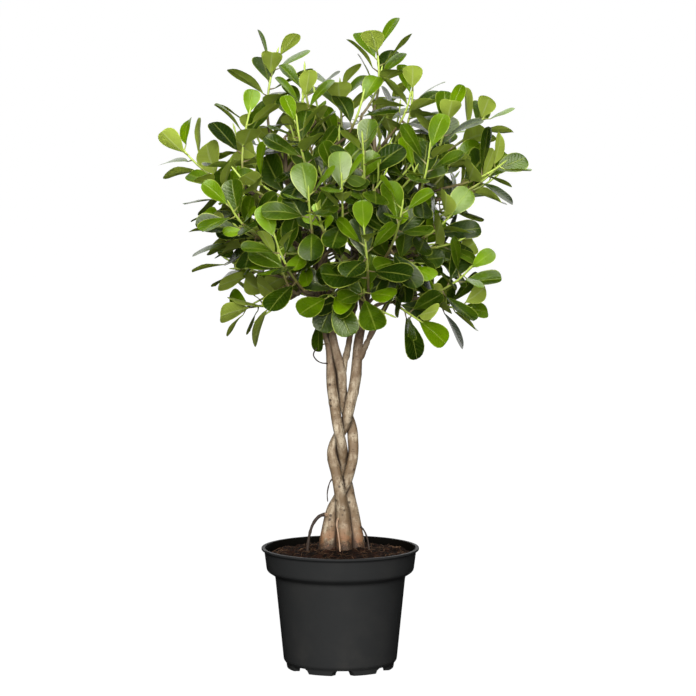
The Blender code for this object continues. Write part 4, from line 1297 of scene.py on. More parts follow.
def fill_gaps(fill_round, wood, limbs, placed, reach, box, middles, fills):
    """One round of side shoots between two heights.

    Random spots are kept where they lie between two shares of the crown's reach. The spot that is furthest
    from any leaf, outer ones first, is taken each time. Leaves that pass the crown's reach are left off.
    The middles of the leaves and the shoots made are added to their lists.
    """
    seed, count, tries, lowest, highest = fill_round
    rng = random.Random(seed)
    spots = np.random.default_rng(seed).uniform(*box, (FILL_SAMPLES, 3))
    share = reach.share(spots)
    keep = (share > FILL_SHELL[0]) & (share < FILL_SHELL[1])
    keep &= (spots[:, 2] > lowest) & (spots[:, 2] < highest)
    spots = spots[keep]
    weight = 0.5 + 0.5 * share[keep]
    gaps = np.linalg.norm(spots[:, None] - np.array(middles)[None], axis=2).min(axis=1)
    for index in range(count):
        name = f"fill_{seed}_{index + 1:02d}"
        spot = spots[int(np.argmax(gaps * weight))]
        outward = unit(spot - reach.heart)
        rise = unit(outward + np.array([rng.uniform(*FILL_LEAN), rng.uniform(*FILL_LEAN), FILL_RISE]))
        length = rng.uniform(*FILL_LENGTH)
        base = spot - rise * length * FILL_BELOW_ABOVE[0]
        tip = spot + rise * length * FILL_BELOW_ABOVE[1]
        found = settle_fill(base, tip, limbs, placed, rng, tries)
        gaps = np.minimum(gaps, np.linalg.norm(spots - spot, axis=1))
        if not found:
            continue
        path, stem, bough = found
        if reach.share(path[-1:])[0] > FILL_LIMIT:
            continue
        leaves = leaf_out(name, found, rng.randint(*FILL_LEAVES), rng, placed)
        ends = np.array([leaf_tip(leaf) for leaf in leaves]).reshape(-1, 3)
        leaves = [leaf for leaf, inside in zip(leaves, reach.share(ends) < FILL_LIMIT) if inside]
        if not leaves:
            continue
        wood[stem].append(bough)
        fills.append((name, path, leaves, stem, bough))
        for leaf in leaves:
            middles.append(leaf_middle(leaf))
            gaps = np.minimum(gaps, np.linalg.norm(spots - middles[-1], axis=1))


def set_shoots(limbs, placed):
    """The listed shoots, and the single leaf that hangs beside the fork on a long stalk."""
    rng = random.Random(SET_SEED)
    made = []
    for index, (base, tip, count, size, youth) in enumerate(SET_SHOOTS):
        name = f"set_{index + 1}"
        found = settle_fill(np.array(base), np.array(tip), limbs, placed, rng, SET_TRIES)
        if not found:
            raise ValueError("a shoot set by hand finds no free place")
        path, stem, bough = found
        leaves = leaf_out(name, found, count, rng, placed)
        for leaf in leaves:
            start, radial, along, face, petiole = leaf["stalk"]
            leaf.update(stalk=(start, radial, along, face, petiole * size), length=leaf["length"] * size,
                        half_width=leaf["half_width"] * size, youth=youth)
        made.append((name, path, leaves, stem, bough))
    radial, along, face = (unit(np.array(way)) for way in HANGING_WAYS)
    length, half_width, curl, petiole = HANGING_SIZE
    face = unit(face - along * np.dot(face, along))
    leaf = {"place": 0.5, "stalk": (np.array(HANGING_START), radial, along, face, petiole),
            "length": length, "half_width": half_width, "curl": curl}
    placed.add(*leaf_box(leaf, 0.0), "hanging_leaf")
    made.append(("hanging_leaf", None, [leaf], "stem_left", None))
    return made


def settle_fill(base, tip, limbs, placed, rng, tries):
    """Path, stem and bough of a side shoot in a free place, or None. Each try moves it a little further."""
    ranked = nearest_first(limbs, base)
    for attempt in range(tries):
        step = min(FILL_SHIFT_STEP * attempt, FILL_SHIFT_LIMIT)
        shift = np.array([rng.uniform(-1, 1) for _ in range(3)]) * step
        path = shoot_path(base + shift, tip + shift)
        found = free_shoot(path, *ranked[attempt % FILL_LIMBS], placed, rng)
        if found:
            return found
    return None


def leaf_out(name, found, count, rng, placed):
    """Puts a settled side shoot in place and grows its leaves."""
    path, stem, bough = found
    placed.add(*tube(*bough), stem)
    placed.add(*twig_tube(path, 0.0), name)
    return place_leaves(path, count, name, rng, placed)


# Leaves and twigs


def blade_width(along):
    """Half-width of a blade over its widest: a power of the way from the base times one of the way on."""
    peak = OUTLINE_RISE / (OUTLINE_RISE + OUTLINE_FALL)
    widest = peak**OUTLINE_RISE * (1 - peak) ** OUTLINE_FALL
    return along**OUTLINE_RISE * (1 - along) ** OUTLINE_FALL / widest


def blade_points(root, along, face, length, half, curl, rng):
    """Points (leaves, rings, 8, 3) of the blades.

    The midrib is the arc of the solid leaf. Across the blade, height is a fold that rises with the distance
    from the midrib, less a roll that grows with its fourth power at the margin, plus a wave along each half.
    The lower side lies one thickness below, with a deeper midrib.
    """
    each = (len(root), 1, 1)
    rings = np.array(BLADE_RINGS)
    across = np.array(ACROSS)
    side = np.cross(along, face)
    turns = curl[:, None] * rings
    forward = np.sin(turns) / curl[:, None]
    down = (1 - np.cos(turns)) / curl[:, None]
    arc = forward[..., None] * along[:, None] - down[..., None] * face[:, None]
    line = root[:, None] + length[:, None, None] * arc
    up = np.cos(turns)[..., None] * face[:, None] + np.sin(turns)[..., None] * along[:, None]
    width = half[:, None] * blade_width(rings)
    width = np.sqrt(width**2 + (PETIOLE_RADIUS * (1 - 0.7 * rings)) ** 2)[..., None]
    fold = rng.uniform(*FOLD_RANGE, each)
    roll = rng.uniform(*ROLL_RANGE, each)
    wave = rng.uniform(*WAVE_RANGE, each)
    phase = rng.uniform(0, FULL_TURN, each) + np.where(across > 0, WAVE_LAG, 0.0)
    swing = np.sin(2 * math.pi * WAVES_ALONG * rings[None, :, None] + phase)
    rise = width * (fold * np.abs(across) ** 1.3 - roll * across**4 + wave * swing * across**2)
    bend = rng.uniform(*BEND_RANGE, each) * rings[None, :, None] ** 2 * length[:, None, None]
    under = np.array(UNDER) * np.where(across == 0.0, RIB_DEPTH, BLADE_THICKNESS)
    thin = under * (1 - 0.55 * rings[:, None])
    return (line[:, :, None] + side[:, None, None] * (width * across + bend)[..., None]
            + up[:, :, None] * (rise - thin)[..., None])


def add_leaves(shape, leaves, rng):
    """All leaves of a shoot, each a closed loft of rings of eight points: two round ones, then the blade.

    The faces of the lower side are split along the same diagonals as those above, so neither side shows
    through the other.
    """
    start, radial, along, face = (np.array([leaf["stalk"][k] for leaf in leaves]) for k in range(4))
    petiole = np.array([leaf["stalk"][4] for leaf in leaves])
    length, half, curl, place = (np.array([leaf[key] for leaf in leaves])
                                 for key in ("length", "half_width", "curl", "place"))
    curl = np.where(np.abs(curl) < 1e-4, 1e-4, curl)
    lead = each_unit(PETIOLE_LEAD[0] * radial + PETIOLE_LEAD[1] * along)
    blades = blade_points(start + lead * petiole[:, None], along, face, length, half, curl, rng)
    ring_up = each_unit(face - lead * np.sum(face * lead, axis=1)[:, None])
    sides = len(ACROSS)
    circle = circles(math.pi - np.arange(sides) * math.pi / 4, np.cross(lead, ring_up), ring_up)
    sag = 0.5 * petiole[:, None] * lead - 0.35 * ring_up
    low = (start + 0.3 * radial)[:, None] + 1.15 * PETIOLE_RADIUS * circle
    middle = (start + sag)[:, None] + 0.9 * PETIOLE_RADIUS * circle
    points = np.concatenate([low[:, None], middle[:, None], blades], axis=1)
    count, rows = points.shape[:2]

    uv = np.zeros((count, rows, sides, 2))
    uv[..., 0] = np.concatenate([[0.0, 0.0], BLADE_RINGS])[None, :, None]
    uv[..., 1] = (np.array(ACROSS) + 1) / 2
    uv[:, :2, :, 1] = 0.5
    youth = np.array([leaf.get("youth", 0.0) for leaf in leaves])
    tone = place ** TONE_BY_PLACE[0] * TONE_BY_PLACE[1]
    tone = tone + rng.uniform(0.0, TONE_BY_CHANCE[1], count) ** TONE_BY_CHANCE[0] + youth

    loop = grid_faces(rows, sides).reshape(rows - 1, sides, 4)
    ends = np.array([np.arange(sides)[::-1], np.arange(sides) + sides * (rows - 1)])
    first = (np.arange(count) * rows * sides)[:, None, None]
    above, below, stalk = 0, 1, 2
    blocks = [(loop[2:, :4], above), (np.roll(loop[2:, 4:], -1, axis=-1), below), (loop[:2], stalk),
              (ends[:1], stalk), (ends[1:], above)]
    blocks = [((faces.reshape(1, -1, faces.shape[-1]) + first).reshape(-1, faces.shape[-1]), slot)
              for faces, slot in blocks]
    shape.add(points, blocks, uv, np.repeat(tone, rows * sides))


def add_twig(shape, path, leaves):
    """A green twig: a bar that tapers, swells at each leaf and ends in a pointed bud."""
    axis = smooth_curve(path, TWIG_RINGS)
    base = axis[0] - unit(axis[1] - axis[0]) * TWIG_SUNK
    bud = unit(axis[-1] - axis[-2])
    axis = np.vstack([base, axis[:-1]] + [axis[-1] + bud * step for step in BUD_STEPS])
    share = np.concatenate([[0.0], np.linspace(0.0, 1.0, TWIG_RINGS)])
    radii = between(TWIG_RADIUS, share)
    spacing = np.linalg.norm(path[-1] - path[0])
    for leaf in leaves:
        away = (share - leaf["place"]) * spacing / 1.8
        radii = radii * (1 + TWIG_SWELLING * np.exp(-(away**2)))
    radii = np.concatenate([radii, np.array(BUD_WIDTHS) * TWIG_RADIUS[1]])
    share = np.concatenate([share, np.ones(len(BUD_WIDTHS))])
    bar(shape, axis, radii, 8, 2, np.clip(share * 1.3, 0.0, 1.0))


def leafy_piece(name, groups, seed, *nodes):
    """One object for one or more shoots, each a path, or None for a single leaf, and its leaves."""
    shape = Shape()
    rng = np.random.default_rng(seed)
    for path, leaves in groups:
        if path is not None:
            add_twig(shape, path, leaves)
        add_leaves(shape, leaves, rng)
    materials = [bpy.data.materials[key] for key in ("leaf_top", "leaf_under", "green_twig")]
    settle(shape.build(name, materials, LEAF_SHARP_DEG), "leaf", *nodes)


# Wood


def trunk_relief(path, radii, sides, seed):
    """Radii (rings, sides) of a trunk: shallow flutes that turn with height, knots, ring scars and swellings.

    Each is a factor on the radius. A flute is a cosine round the trunk, a knot a small bell with a dent in
    its middle, and a ring scar a narrow bell along the trunk that fades round it.
    """
    rng = np.random.default_rng(seed)
    angle = (np.arange(sides) + 0.5) * 2 * math.pi / sides
    travel = np.concatenate([[0.0], np.cumsum(np.linalg.norm(np.diff(path, axis=0), axis=1))])[:, None]
    height = path[:, 2:3]
    foot = np.clip((190.0 - height) / 50.0, 0.0, 1.0) ** 1.5
    factor = np.ones((len(path), sides))
    for lobes, size in FLUTES:
        swing = rng.uniform(0, FULL_TURN) + travel * rng.uniform(-0.012, 0.012)
        factor += size * (1.0 - 0.8 * foot) * np.cos(lobes * angle + swing)
    slow = 0.03 * np.sin(travel / 23.0 + rng.uniform(0, 6))
    factor += slow + 0.02 * np.sin(travel / 8.7 + rng.uniform(0, 6))
    factor *= np.interp(height, SWELL_HEIGHTS, SWELL)
    for _ in range(int(travel[-1, 0] / KNOT_SPACING)):
        spot = rng.uniform(0, travel[-1, 0])
        bearing = rng.uniform(0, FULL_TURN)
        size = rng.uniform(*KNOT_SIZE)
        turn = np.abs((angle - bearing + math.pi) % FULL_TURN - math.pi) * radii.mean()
        distance = ((travel - spot) / size) ** 2 + (turn / (size * 1.2)) ** 2
        factor += rng.uniform(*KNOT_DEPTH) * (np.exp(-distance) - 0.55 * np.exp(-distance * 5.0))
    for spot in np.arange(12.0, travel[-1, 0], SCAR_SPACING):
        spot += rng.uniform(-5, 5)
        bearing = rng.uniform(0, FULL_TURN)
        partly = 0.5 + 0.5 * np.cos(angle - bearing)
        factor += rng.uniform(*SCAR_DEPTH) * partly * np.exp(-(((travel - spot) / SCAR_WIDTH) ** 2))
    return radii[:, None] * factor


def crease_depth(points, trunks):
    """How near each point lies to the other trunks at its own height: 1 where they meet, 0 a few mm away.
    It masks the painted shade between the trunks.
    """
    height = points[..., 2]
    found = np.zeros(height.shape)
    for line in trunks:
        x, y, radius = (np.interp(height, line[:, 2], line[:, k]) for k in (0, 1, 3))
        gap = np.hypot(points[..., 0] - x, points[..., 1] - y) - radius
        reach = np.interp(height, CREASE_HEIGHTS, CREASE_REACH)
        found = np.maximum(found, np.exp(-(np.maximum(gap, 0.0) / reach) ** 2))
    return found


def wood_piece(node, parts, seed, others):
    """One stem with its trunk, boughs, aerial roots and woody twigs, every one a bar along its curve."""
    shape = Shape()
    for index, (path, radii, sides) in enumerate(parts):
        rings, around = WOOD_GRID[sides]
        axis = smooth_curve(np.column_stack([path, np.broadcast_to(radii, (len(path),))]), rings)
        girth = axis[:, 3]
        line = axis[:, :3]
        rootness = 0.0
        if index == 0:
            relief = trunk_relief(line, girth, around, seed)
            tone = np.clip((560.0 - line[:, 2]) / 160.0, 0.25, 1.0)
        else:
            jitter = 1.0 + 0.09 * ripple(line, 9.0, seed * 31 + index)
            relief = np.repeat((girth * jitter)[:, None], around, axis=1)
            tone = np.clip((girth - 1.6) / 2.2, 0.0, 0.8)
            if path[:, 2].max() < CROWN_START:
                rootness = PALE_ROOTNESS if path[:, 1].min() < FRONT_ROOT else DARK_ROOTNESS
        rootness = rootness * np.clip(np.linspace(-0.4, 7.0, rings), 0.0, 1.0)[:, None]

        def finish(points, rootness=rootness):
            """Nearness to the other trunks, which sets the painted shade between them, and how pale or dark a
            root is, at each point.
            """
            return np.stack([crease_depth(points, others), np.broadcast_to(rootness, points.shape[:2])],
                            axis=-1)

        bar(shape, line, relief, around, 0, tone, finish)
    item = shape.build(node.replace("stem", "braided_stem"), [bpy.data.materials["fig_bark"]])
    settle(item, "bark", node)


# Pot and soil


def rounded_profile(points, fillets):
    """A half outline with rounded corners.

    Each corner is replaced by a quadratic curve that touches both edges at the fillet distance.
    """
    points = np.array(points, float)
    made = [points[0]]
    for before, corner, after, fillet in zip(points[:-2], points[1:-1], points[2:], fillets[1:-1]):
        enter = corner + (before - corner) * min(0.48, fillet / np.linalg.norm(before - corner))
        leave = corner + (after - corner) * min(0.48, fillet / np.linalg.norm(after - corner))
        made += list(bezier(enter, corner, leave, FILLET_STEPS + 1))
    return np.array(made + [points[-1]])


def lathe_rows(profile, columns):
    """Points (rows, columns, 3) of a turned surface."""
    angles = np.arange(columns) * 2 * math.pi / columns
    return np.stack([profile[:, 0:1] * np.cos(angles), profile[:, 0:1] * np.sin(angles),
                     np.broadcast_to(profile[:, 1:2], (len(profile), columns))], axis=-1)


def add_turned(shape, rows, first, last, tone=0.0):
    """Rows of a turned surface, each with a tone, closed at both ends by fans to points on the axis."""
    count, columns = rows.shape[:2]
    points = np.vstack([rows.reshape(-1, 3), [first], [last]])
    ring = np.arange(columns)
    after = (ring + 1) % columns
    last_ring = (count - 1) * columns
    start = np.stack([ring, np.full(columns, count * columns), after], axis=1)
    end = np.stack([ring + last_ring, after + last_ring, np.full(columns, count * columns + 1)], axis=1)
    tones = np.repeat(np.broadcast_to(np.asarray(tone, float), (count,)), columns)
    shape.add(points, [(grid_faces(count, columns), 0), (start, 0), (end, 0)],
              tone=np.append(tones, [0.0, tones[-1]]))


def notch_height(angle, radius):
    """Height of the arched notches in the foot ring: flat in the middle, sides slanting, wider outwards."""
    pitch = FULL_TURN / NOTCH_COUNT
    turned = (angle - math.radians(NOTCH_FIRST_DEG) + pitch / 2) % pitch - pitch / 2
    spread = np.abs(radius * np.sin(turned)) / np.interp(radius, NOTCH_REACH, NOTCH_HALF_WIDTH)
    return np.interp(spread, (0.0, 0.62, 0.9, 1.0), (NOTCH_HEIGHT, NOTCH_HEIGHT, NOTCH_SHOULDER, 0.0))


def make_pot(settings):
    """Turned from its half outline with every corner rounded; the foot ring is lifted where a notch is."""
    outline = [(FOOT_INNER - 6.0, FLOOR_UNDER), (FOOT_INNER, FLOOR_UNDER), (FOOT_INNER, 0.0), *POT_OUTSIDE,
               *pot_inside(), (40.0, FLOOR_TOP)]
    fillets = POT_FILLETS + (INNER_FILLET,) * (len(outline) - len(POT_FILLETS))
    profile = rounded_profile(outline, fillets)
    long_steps = []
    for low, high in zip(profile[:-1], profile[1:]):
        pieces = max(1, int(np.linalg.norm(high - low) / (WALL_STEP if high[1] > 0.5 else 1.0)))
        long_steps += [low + (high - low) * step / pieces for step in range(pieces)]
    profile = np.array(long_steps + [profile[-1]])
    rows = lathe_rows(profile, settings.columns)
    angle = np.arctan2(rows[..., 1], rows[..., 0])
    radius = np.hypot(rows[..., 0], rows[..., 1])
    foot = (radius > FOOT_INNER - 0.6) & (rows[..., 2] < NOTCH_HEIGHT + 0.5)
    rows[..., 2] = np.where(foot, np.maximum(rows[..., 2], notch_height(angle, radius)), rows[..., 2])
    shape = Shape()
    # Rows inside the pot and on the top of the rim get tone 1, which the finish paints darker as painted
    # shade
    inside = np.arange(len(profile)) > np.argmax(profile[:, 1]) - 2
    add_turned(shape, rows, (0.0, 0.0, FLOOR_UNDER), (0.0, 0.0, FLOOR_TOP), inside)
    material = pot_material(settings.colour, settings.roughness)
    settle(shape.build("nursery_pot", [material], POT_SHARP_DEG), "pot_plastic", "pot")


def soil_height(place):
    """Height of the peat at a place (x, y): a low mound with lumps, hollows and a bank round each stem."""
    radius = np.hypot(place[..., 0], place[..., 1])
    mound = np.interp(radius, MOUND_RADII, MOUND_HEIGHTS)
    flat = np.concatenate([place[..., :2], np.zeros(place.shape[:-1] + (1,))], axis=-1)
    broad, middling, small = (ripple(flat, length, seed) for _, length, seed in PEAT_LUMPS)
    heights = [height for height, _, _ in PEAT_LUMPS]
    relief = heights[0] * broad + heights[1] * middling + heights[2] * np.abs(small)
    relief *= np.clip((87.5 - radius) / 7.0, 0.0, 1.0)
    bank = sum(BANK_HEIGHT * np.exp(-((place[..., 0] - x) ** 2 + (place[..., 1] - y) ** 2) / BANK_SPREAD)
               for x, y, _, _ in (STEM_LEFT[1], STEM_MIDDLE[1], STEM_RIGHT[1]))
    return mound + relief + bank - 0.8


def add_crumbs(shape, count, rng):
    """Loose crumbs: flat octahedra with uneven corners, turned about the upright."""
    corners = np.array([(0, 0, 1), (1, 0, 0), (0, 1, 0), (-1, 0, 0), (0, -1, 0), (0, 0, -1)], float)
    around = [(0, k, k % 4 + 1) for k in range(1, 5)] + [(5, k % 4 + 1, k) for k in range(1, 5)]
    radius = CRUMB_REACH * np.sqrt(rng.uniform(0.0, 1.0, count))
    bearing = rng.uniform(0, FULL_TURN, count)
    centre = np.column_stack([radius * np.cos(bearing), radius * np.sin(bearing), np.zeros(count)])
    centre[:, 2] = soil_height(centre) + rng.uniform(-0.1, 0.5, count)
    size = rng.uniform(*CRUMB_SIZE, (count, 1, 1)) * rng.uniform(0.55, 1.0, (count, 6, 1))
    turn = rng.uniform(0, FULL_TURN, count)
    level = np.zeros(count)
    swing = np.stack([np.stack([np.cos(turn), -np.sin(turn), level], -1),
                      np.stack([np.sin(turn), np.cos(turn), level], -1),
                      np.stack([level, level, level + CRUMB_FLATNESS], -1)], axis=1)
    points = np.einsum("nij,kj->nki", swing, corners) * size + centre[:, None]
    faces = (np.array(around)[None] + (np.arange(count) * 6)[:, None, None]).reshape(-1, 3)
    shape.add(points, [(faces, 0)], tone=np.repeat(rng.uniform(0.0, 0.22, count) ** 1.5, 6))


def add_fibres(shape, count, rng):
    """Fine root fibres: thin bowed bars that lie on the peat and lift a little in the middle."""
    for _ in range(count):
        radius = FIBRE_REACH * math.sqrt(rng.uniform())
        bearing = rng.uniform(0, FULL_TURN)
        heading = rng.uniform(0, FULL_TURN)
        steps = np.linspace(-0.5, 0.5, FIBRE_POINTS) * rng.uniform(*FIBRE_LENGTH)
        bow = rng.uniform(-0.05, 0.05) * steps**2
        x = radius * math.cos(bearing) + steps * math.cos(heading) - bow * math.sin(heading)
        y = radius * math.sin(bearing) + steps * math.sin(heading) + bow * math.cos(heading)
        line = np.column_stack([x, y, np.zeros(FIBRE_POINTS)])
        lift = rng.uniform(0.0, 1.2) * np.cos(np.linspace(-2.2, 2.2, FIBRE_POINTS))
        line[:, 2] = soil_height(line) + 0.5 + lift
        radii = rng.uniform(*FIBRE_RADIUS) * np.cos(np.linspace(-1.2, 1.2, FIBRE_POINTS))
        bar(shape, line, radii, 4, 0, rng.uniform(0.1, 0.8) ** 1.4)


def make_soil(settings):
    """A polar grid of heights over a turned body that fills the pot, with crumbs and root fibres on it."""
    wall = pot_inside()
    side = [(PEAT_RADIUS, SOIL_EDGE), (wall[2][0] - 0.6, wall[2][1] + SEAT),
            (wall[3][0] - SEAT, wall[3][1] + SEAT), (wall[4][0] - SEAT, wall[4][1]),
            (wall[5][0] - SEAT, wall[5][1]), (wall[6][0] - SEAT, FLOOR_TOP + SEAT)]
    radii = np.linspace(0.8, PEAT_RADIUS, PEAT_RINGS)[::-1]
    low = lathe_rows(np.array(side[::-1]), PEAT_COLUMNS)
    top = lathe_rows(np.column_stack([radii, np.zeros(PEAT_RINGS)]), PEAT_COLUMNS)
    top[..., 2] = soil_height(top)
    summit = (0.0, 0.0, float(soil_height(np.zeros((1, 3)))[0]))
    shape = Shape()
    add_turned(shape, np.concatenate([low, top[1:]]), (0.0, 0.0, FLOOR_TOP + SEAT), summit)
    rng = np.random.default_rng(PEAT_SEED)
    add_crumbs(shape, settings.crumbs, rng)
    add_fibres(shape, settings.fibres, rng)
    settle(shape.build("peat", [soil_material(settings.dark, settings.warm)]), "soil", "soil")


# Sizes and colours


def colour_property(name, text, value):
    """A colour that the user may change."""
    return bpy.props.FloatVectorProperty(name=name, description=text, subtype="COLOR", size=3,
                                         min=0.0, max=1.0, default=value)


def roughness_property(text, value):
    """A roughness that the user may change."""
    return bpy.props.FloatProperty(name="Roughness", description=text, subtype="FACTOR",
                                   min=0.1, max=1.0, default=value)


def count_property(name, text, low, high, value):
    """A number of things that the user may change."""
    return bpy.props.IntProperty(name=name, description=text, min=low, max=high, default=value)


def power_property(name, text, value):
    """The power of a light, which the user may change."""
    return bpy.props.FloatProperty(name=name, description=text, subtype="POWER", min=0.0, default=value)


class FigPotSettings(bpy.types.PropertyGroup):
    """The pot"""
    colour: colour_property("Plastic", "Colour of the pot", (0.019, 0.0195, 0.0195))
    roughness: roughness_property("How dull the pot is", 0.46)
    columns: count_property("Columns", "Faces round the pot", 96, 720, 392)


class FigSoilSettings(bpy.types.PropertyGroup):
    """The peat"""
    dark: colour_property("Wet peat", "Colour of the wet peat", (0.0030, 0.0017, 0.0010))
    warm: colour_property("Fibres", "Colour of the reddish fibres", (0.021, 0.008, 0.004))
    crumbs: count_property("Crumbs", "Loose crumbs on the peat", 0, 3000, 1100)
    fibres: count_property("Root fibres", "Fine root fibres on the peat", 0, 600, 240)


class FigStemSettings(bpy.types.PropertyGroup):
    """The bark"""
    pale: colour_property("Pale bark", "Colour of the pale bark", (0.45, 0.375, 0.265))
    dark: colour_property("Dark bark", "Colour of the darker clouds", (0.15, 0.10, 0.055))
    foot: colour_property("Foot", "Colour of the patches near the soil", (0.24, 0.105, 0.045))


class FigLeafSettings(bpy.types.PropertyGroup):
    """The leaves and green twigs"""
    old: colour_property("Old leaf", "Colour of the oldest leaves", (0.008, 0.023, 0.001))
    young: colour_property("Young leaf", "Colour of the youngest leaves", (0.20, 0.37, 0.0))
    under: colour_property("Underside", "Colour of the lower side", (0.42, 0.53, 0.07))
    twig: colour_property("Green twig", "Colour of young twigs and stalks", (0.38, 0.48, 0.08))
    wood: colour_property("Woody twig", "Colour of the older twigs", (0.13, 0.10, 0.035))
    roughness: roughness_property("How dull the upper side is", 0.27)


class FigStageSettings(bpy.types.PropertyGroup):
    """The lights"""
    key: power_property("Key light", "Power of the large light above the front", 160.0)
    front: power_property("Front light", "Power of the soft light by the camera", 165.0)
    top: power_property("Top light", "Power of the light above the crown", 55.0)
    back: power_property("Back light", "Power of the soft light behind", 110.0)
    room: bpy.props.FloatProperty(name="Room", description="Brightness of the room", min=0.0, default=0.02)


class FigSettings(bpy.types.PropertyGroup):
    """All settings of the potted fig"""
    pot: bpy.props.PointerProperty(type=FigPotSettings)
    soil: bpy.props.PointerProperty(type=FigSoilSettings)
    stems: bpy.props.PointerProperty(type=FigStemSettings)
    leaves: bpy.props.PointerProperty(type=FigLeafSettings)
    stage: bpy.props.PointerProperty(type=FigStageSettings)


# Stage


def make_floor():
    """A round white floor. The camera sees it nearly white, and other rays see a plain grey."""
    angles = np.linspace(0, FULL_TURN, FLOOR_COLUMNS, endpoint=False)
    radii = np.array(FLOOR_RADII)[::-1, None] * 1000.0
    count = len(FLOOR_RADII)
    rows = np.stack([radii * np.cos(angles), radii * np.sin(angles),
                     np.full((count, FLOOR_COLUMNS), -FLOOR_DROP_MM)], axis=-1)
    middle = np.arange(FLOOR_COLUMNS)[None] + (count - 1) * FLOOR_COLUMNS
    shape = Shape()
    shape.add(rows, [(grid_faces(count, FLOOR_COLUMNS), 0), (middle, 0)])
    material, tree, shader = new_material("studio_floor")
    tree.feed(shader, {"Base Color": FLOOR_GREY, "Roughness": 0.9, "Specular IOR Level": 0.0})
    glow = tree.add("ShaderNodeEmission", {"Color": WHITE, "Strength": 1.0})
    both = tree.add("ShaderNodeAddShader", {0: glow.outputs[0], 1: shader.outputs[0]})
    seen = tree.add("ShaderNodeLightPath").outputs["Is Camera Ray"]
    mixed = tree.add("ShaderNodeMixShader", {0: seen, 1: shader.outputs[0], 2: both.outputs[0]})
    tree.show("Material Output", mixed)
    shape.build("studio_floor", [material])


def make_light(name, place, width, power):
    """A square soft light that looks at the middle of the plant."""
    light = bpy.data.lights.new(name, "AREA")
    light.size = width
    light.energy = power
    item = bpy.data.objects.new(name, light)
    bpy.context.scene.collection.objects.link(item)
    back = unit(np.array(place) - np.array(LIGHT_TARGET))
    side = unit(np.cross((0.0, 0.02, 1.0), back))
    turned = np.column_stack([side, np.cross(back, side), back, place])
    item.matrix_world = Matrix(np.vstack([turned, [0, 0, 0, 1]]).tolist())


def make_camera():
    """The photograph's camera: far off with a long lens, a little above the crown and tilted down."""
    data = bpy.data.cameras.new("camera")
    data.sensor_width = SENSOR_MM
    data.lens = SENSOR_MM * FOCAL_PIXELS / PICTURE_PIXELS
    data.clip_start = 0.05
    data.clip_end = 300.0
    item = bpy.data.objects.new("camera", data)
    bpy.context.scene.collection.objects.link(item)
    item.location = (CAMERA_ASIDE, -CAMERA_DISTANCE, CAMERA_HEIGHT)
    item.rotation_euler = (math.pi / 2 - math.radians(CAMERA_TILT_DEG), 0.0, 0.0)
    bpy.context.scene.camera = item


def make_room(scene, brightness):
    """A room that lights the plant a little. The camera sees it white."""
    scene.world = bpy.data.worlds.new("studio")
    scene.world.use_nodes = True
    tree = Nodes(scene.world.node_tree)
    background = scene.world.node_tree.nodes["Background"]
    room = tree.feed(background, {"Strength": brightness, "Color": WHITE})
    white = tree.add("ShaderNodeBackground", {"Color": WHITE, "Strength": 1.0})
    seen = tree.add("ShaderNodeLightPath").outputs["Is Camera Ray"]
    mixed = tree.add("ShaderNodeMixShader", {0: seen, 1: room.outputs[0], 2: white.outputs[0]})
    tree.show("World Output", mixed)


# Operators and panel


class FIG_OT_stage(bpy.types.Operator):
    """Build the floor, the lights and the camera"""
    bl_idname = "fig.stage"
    bl_label = "Stage"

    def execute(self, context):
        settings = context.scene.potted_fig.stage
        make_floor()
        for name, place, width in LIGHTS:
            make_light(name + "_light", place, width, getattr(settings, name))
        make_room(context.scene, settings.room)
        make_camera()
        context.scene.view_settings.view_transform = "Standard"
        return {"FINISHED"}


class FIG_OT_pot(bpy.types.Operator):
    """Build the pot"""
    bl_idname = "fig.pot"
    bl_label = "Pot"

    def execute(self, context):
        make_pot(context.scene.potted_fig.pot)
        return {"FINISHED"}


class FIG_OT_soil(bpy.types.Operator):
    """Build the peat with its crumbs and fibres"""
    bl_idname = "fig.soil"
    bl_label = "Soil"

    def execute(self, context):
        make_soil(context.scene.potted_fig.soil)
        return {"FINISHED"}


class FIG_OT_stems(bpy.types.Operator):
    """Build the three braided stems"""
    bl_idname = "fig.stems"
    bl_label = "Stems"

    def execute(self, context):
        settings = context.scene.potted_fig.stems
        bark_material(settings.pale, settings.dark, settings.foot)
        wood, _, _ = plant()
        trunks = {name: smooth_curve(np.column_stack(parts[0][:2]), 300) for name, parts in wood.items()}
        for index, (name, parts) in enumerate(wood.items()):
            others = [line for key, line in trunks.items() if key != name]
            wood_piece(name, parts, STEM_SEED + index, others)
        return {"FINISHED"}


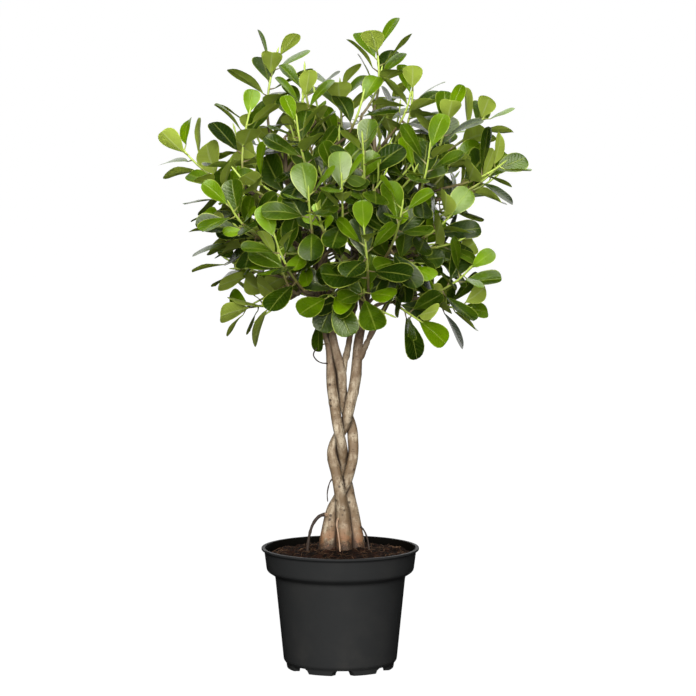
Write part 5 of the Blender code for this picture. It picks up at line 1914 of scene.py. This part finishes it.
class FIG_OT_leafy_shoots(bpy.types.Operator):
    """Build the leafy shoots that the solids show, one piece for each"""
    bl_idname = "fig.leafy_shoots"
    bl_label = "Leafy shoots"

    def execute(self, context):
        settings = context.scene.potted_fig.leaves
        leaf_top_material(settings.old, settings.young, settings.roughness)
        leaf_under_material(settings.under)
        stalk_material(settings.twig, settings.wood)
        _, shoots, _ = plant()
        for index, (name, path, leaves) in enumerate(shoots):
            leafy_piece("leafy_" + name, [(path, leaves)], SHOOT_SEED + index, name)
        return {"FINISHED"}


class FIG_OT_side_shoots(bpy.types.Operator):
    """Build the side shoots that fill the crown, one piece for each stem"""
    bl_idname = "fig.side_shoots"
    bl_label = "Side shoots"

    def execute(self, context):
        wood, _, fills = plant()
        for index, stem in enumerate(wood):
            groups = [(path, leaves) for _, path, leaves, carrier, _ in fills if carrier == stem]
            if groups:
                leafy_piece(stem.replace("stem", "side_shoots"), groups, SIDE_SHOOT_SEED + index)
        return {"FINISHED"}


class FIG_PT_panel(bpy.types.Panel):
    """Pieces of the potted fig and their settings"""
    bl_idname = "FIG_PT_panel"
    bl_label = "Potted fig"
    bl_space_type = "VIEW_3D"
    bl_region_type = "UI"
    bl_category = "Potted fig"

    def draw(self, context):
        settings = context.scene.potted_fig
        for operator, group in PANEL_ROWS:
            box = self.layout.box()
            box.operator(operator.bl_idname)
            if group:
                for key in getattr(settings, group).__annotations__:
                    box.prop(getattr(settings, group), key)


OPERATORS = (FIG_OT_stage, FIG_OT_pot, FIG_OT_soil, FIG_OT_stems, FIG_OT_leafy_shoots, FIG_OT_side_shoots)
PANEL_ROWS = tuple(zip(OPERATORS, ("stage", "pot", "soil", "stems", "leaves", None)))
CLASSES = (FigPotSettings, FigSoilSettings, FigStemSettings, FigLeafSettings, FigStageSettings,
           FigSettings, *OPERATORS, FIG_PT_panel)


def register():
    """Registers the classes and the scene's settings."""
    for kind in CLASSES:
        bpy.utils.register_class(kind)
    bpy.types.Scene.potted_fig = bpy.props.PointerProperty(type=FigSettings)


def unregister():
    """Takes away what register added."""
    del bpy.types.Scene.potted_fig
    for kind in reversed(CLASSES):
        bpy.utils.unregister_class(kind)


def main():
    register()
    for operator in OPERATORS:
        group, name = operator.bl_idname.split(".")
        getattr(getattr(bpy.ops, group), name)()


if __name__ == "__main__":
    main()
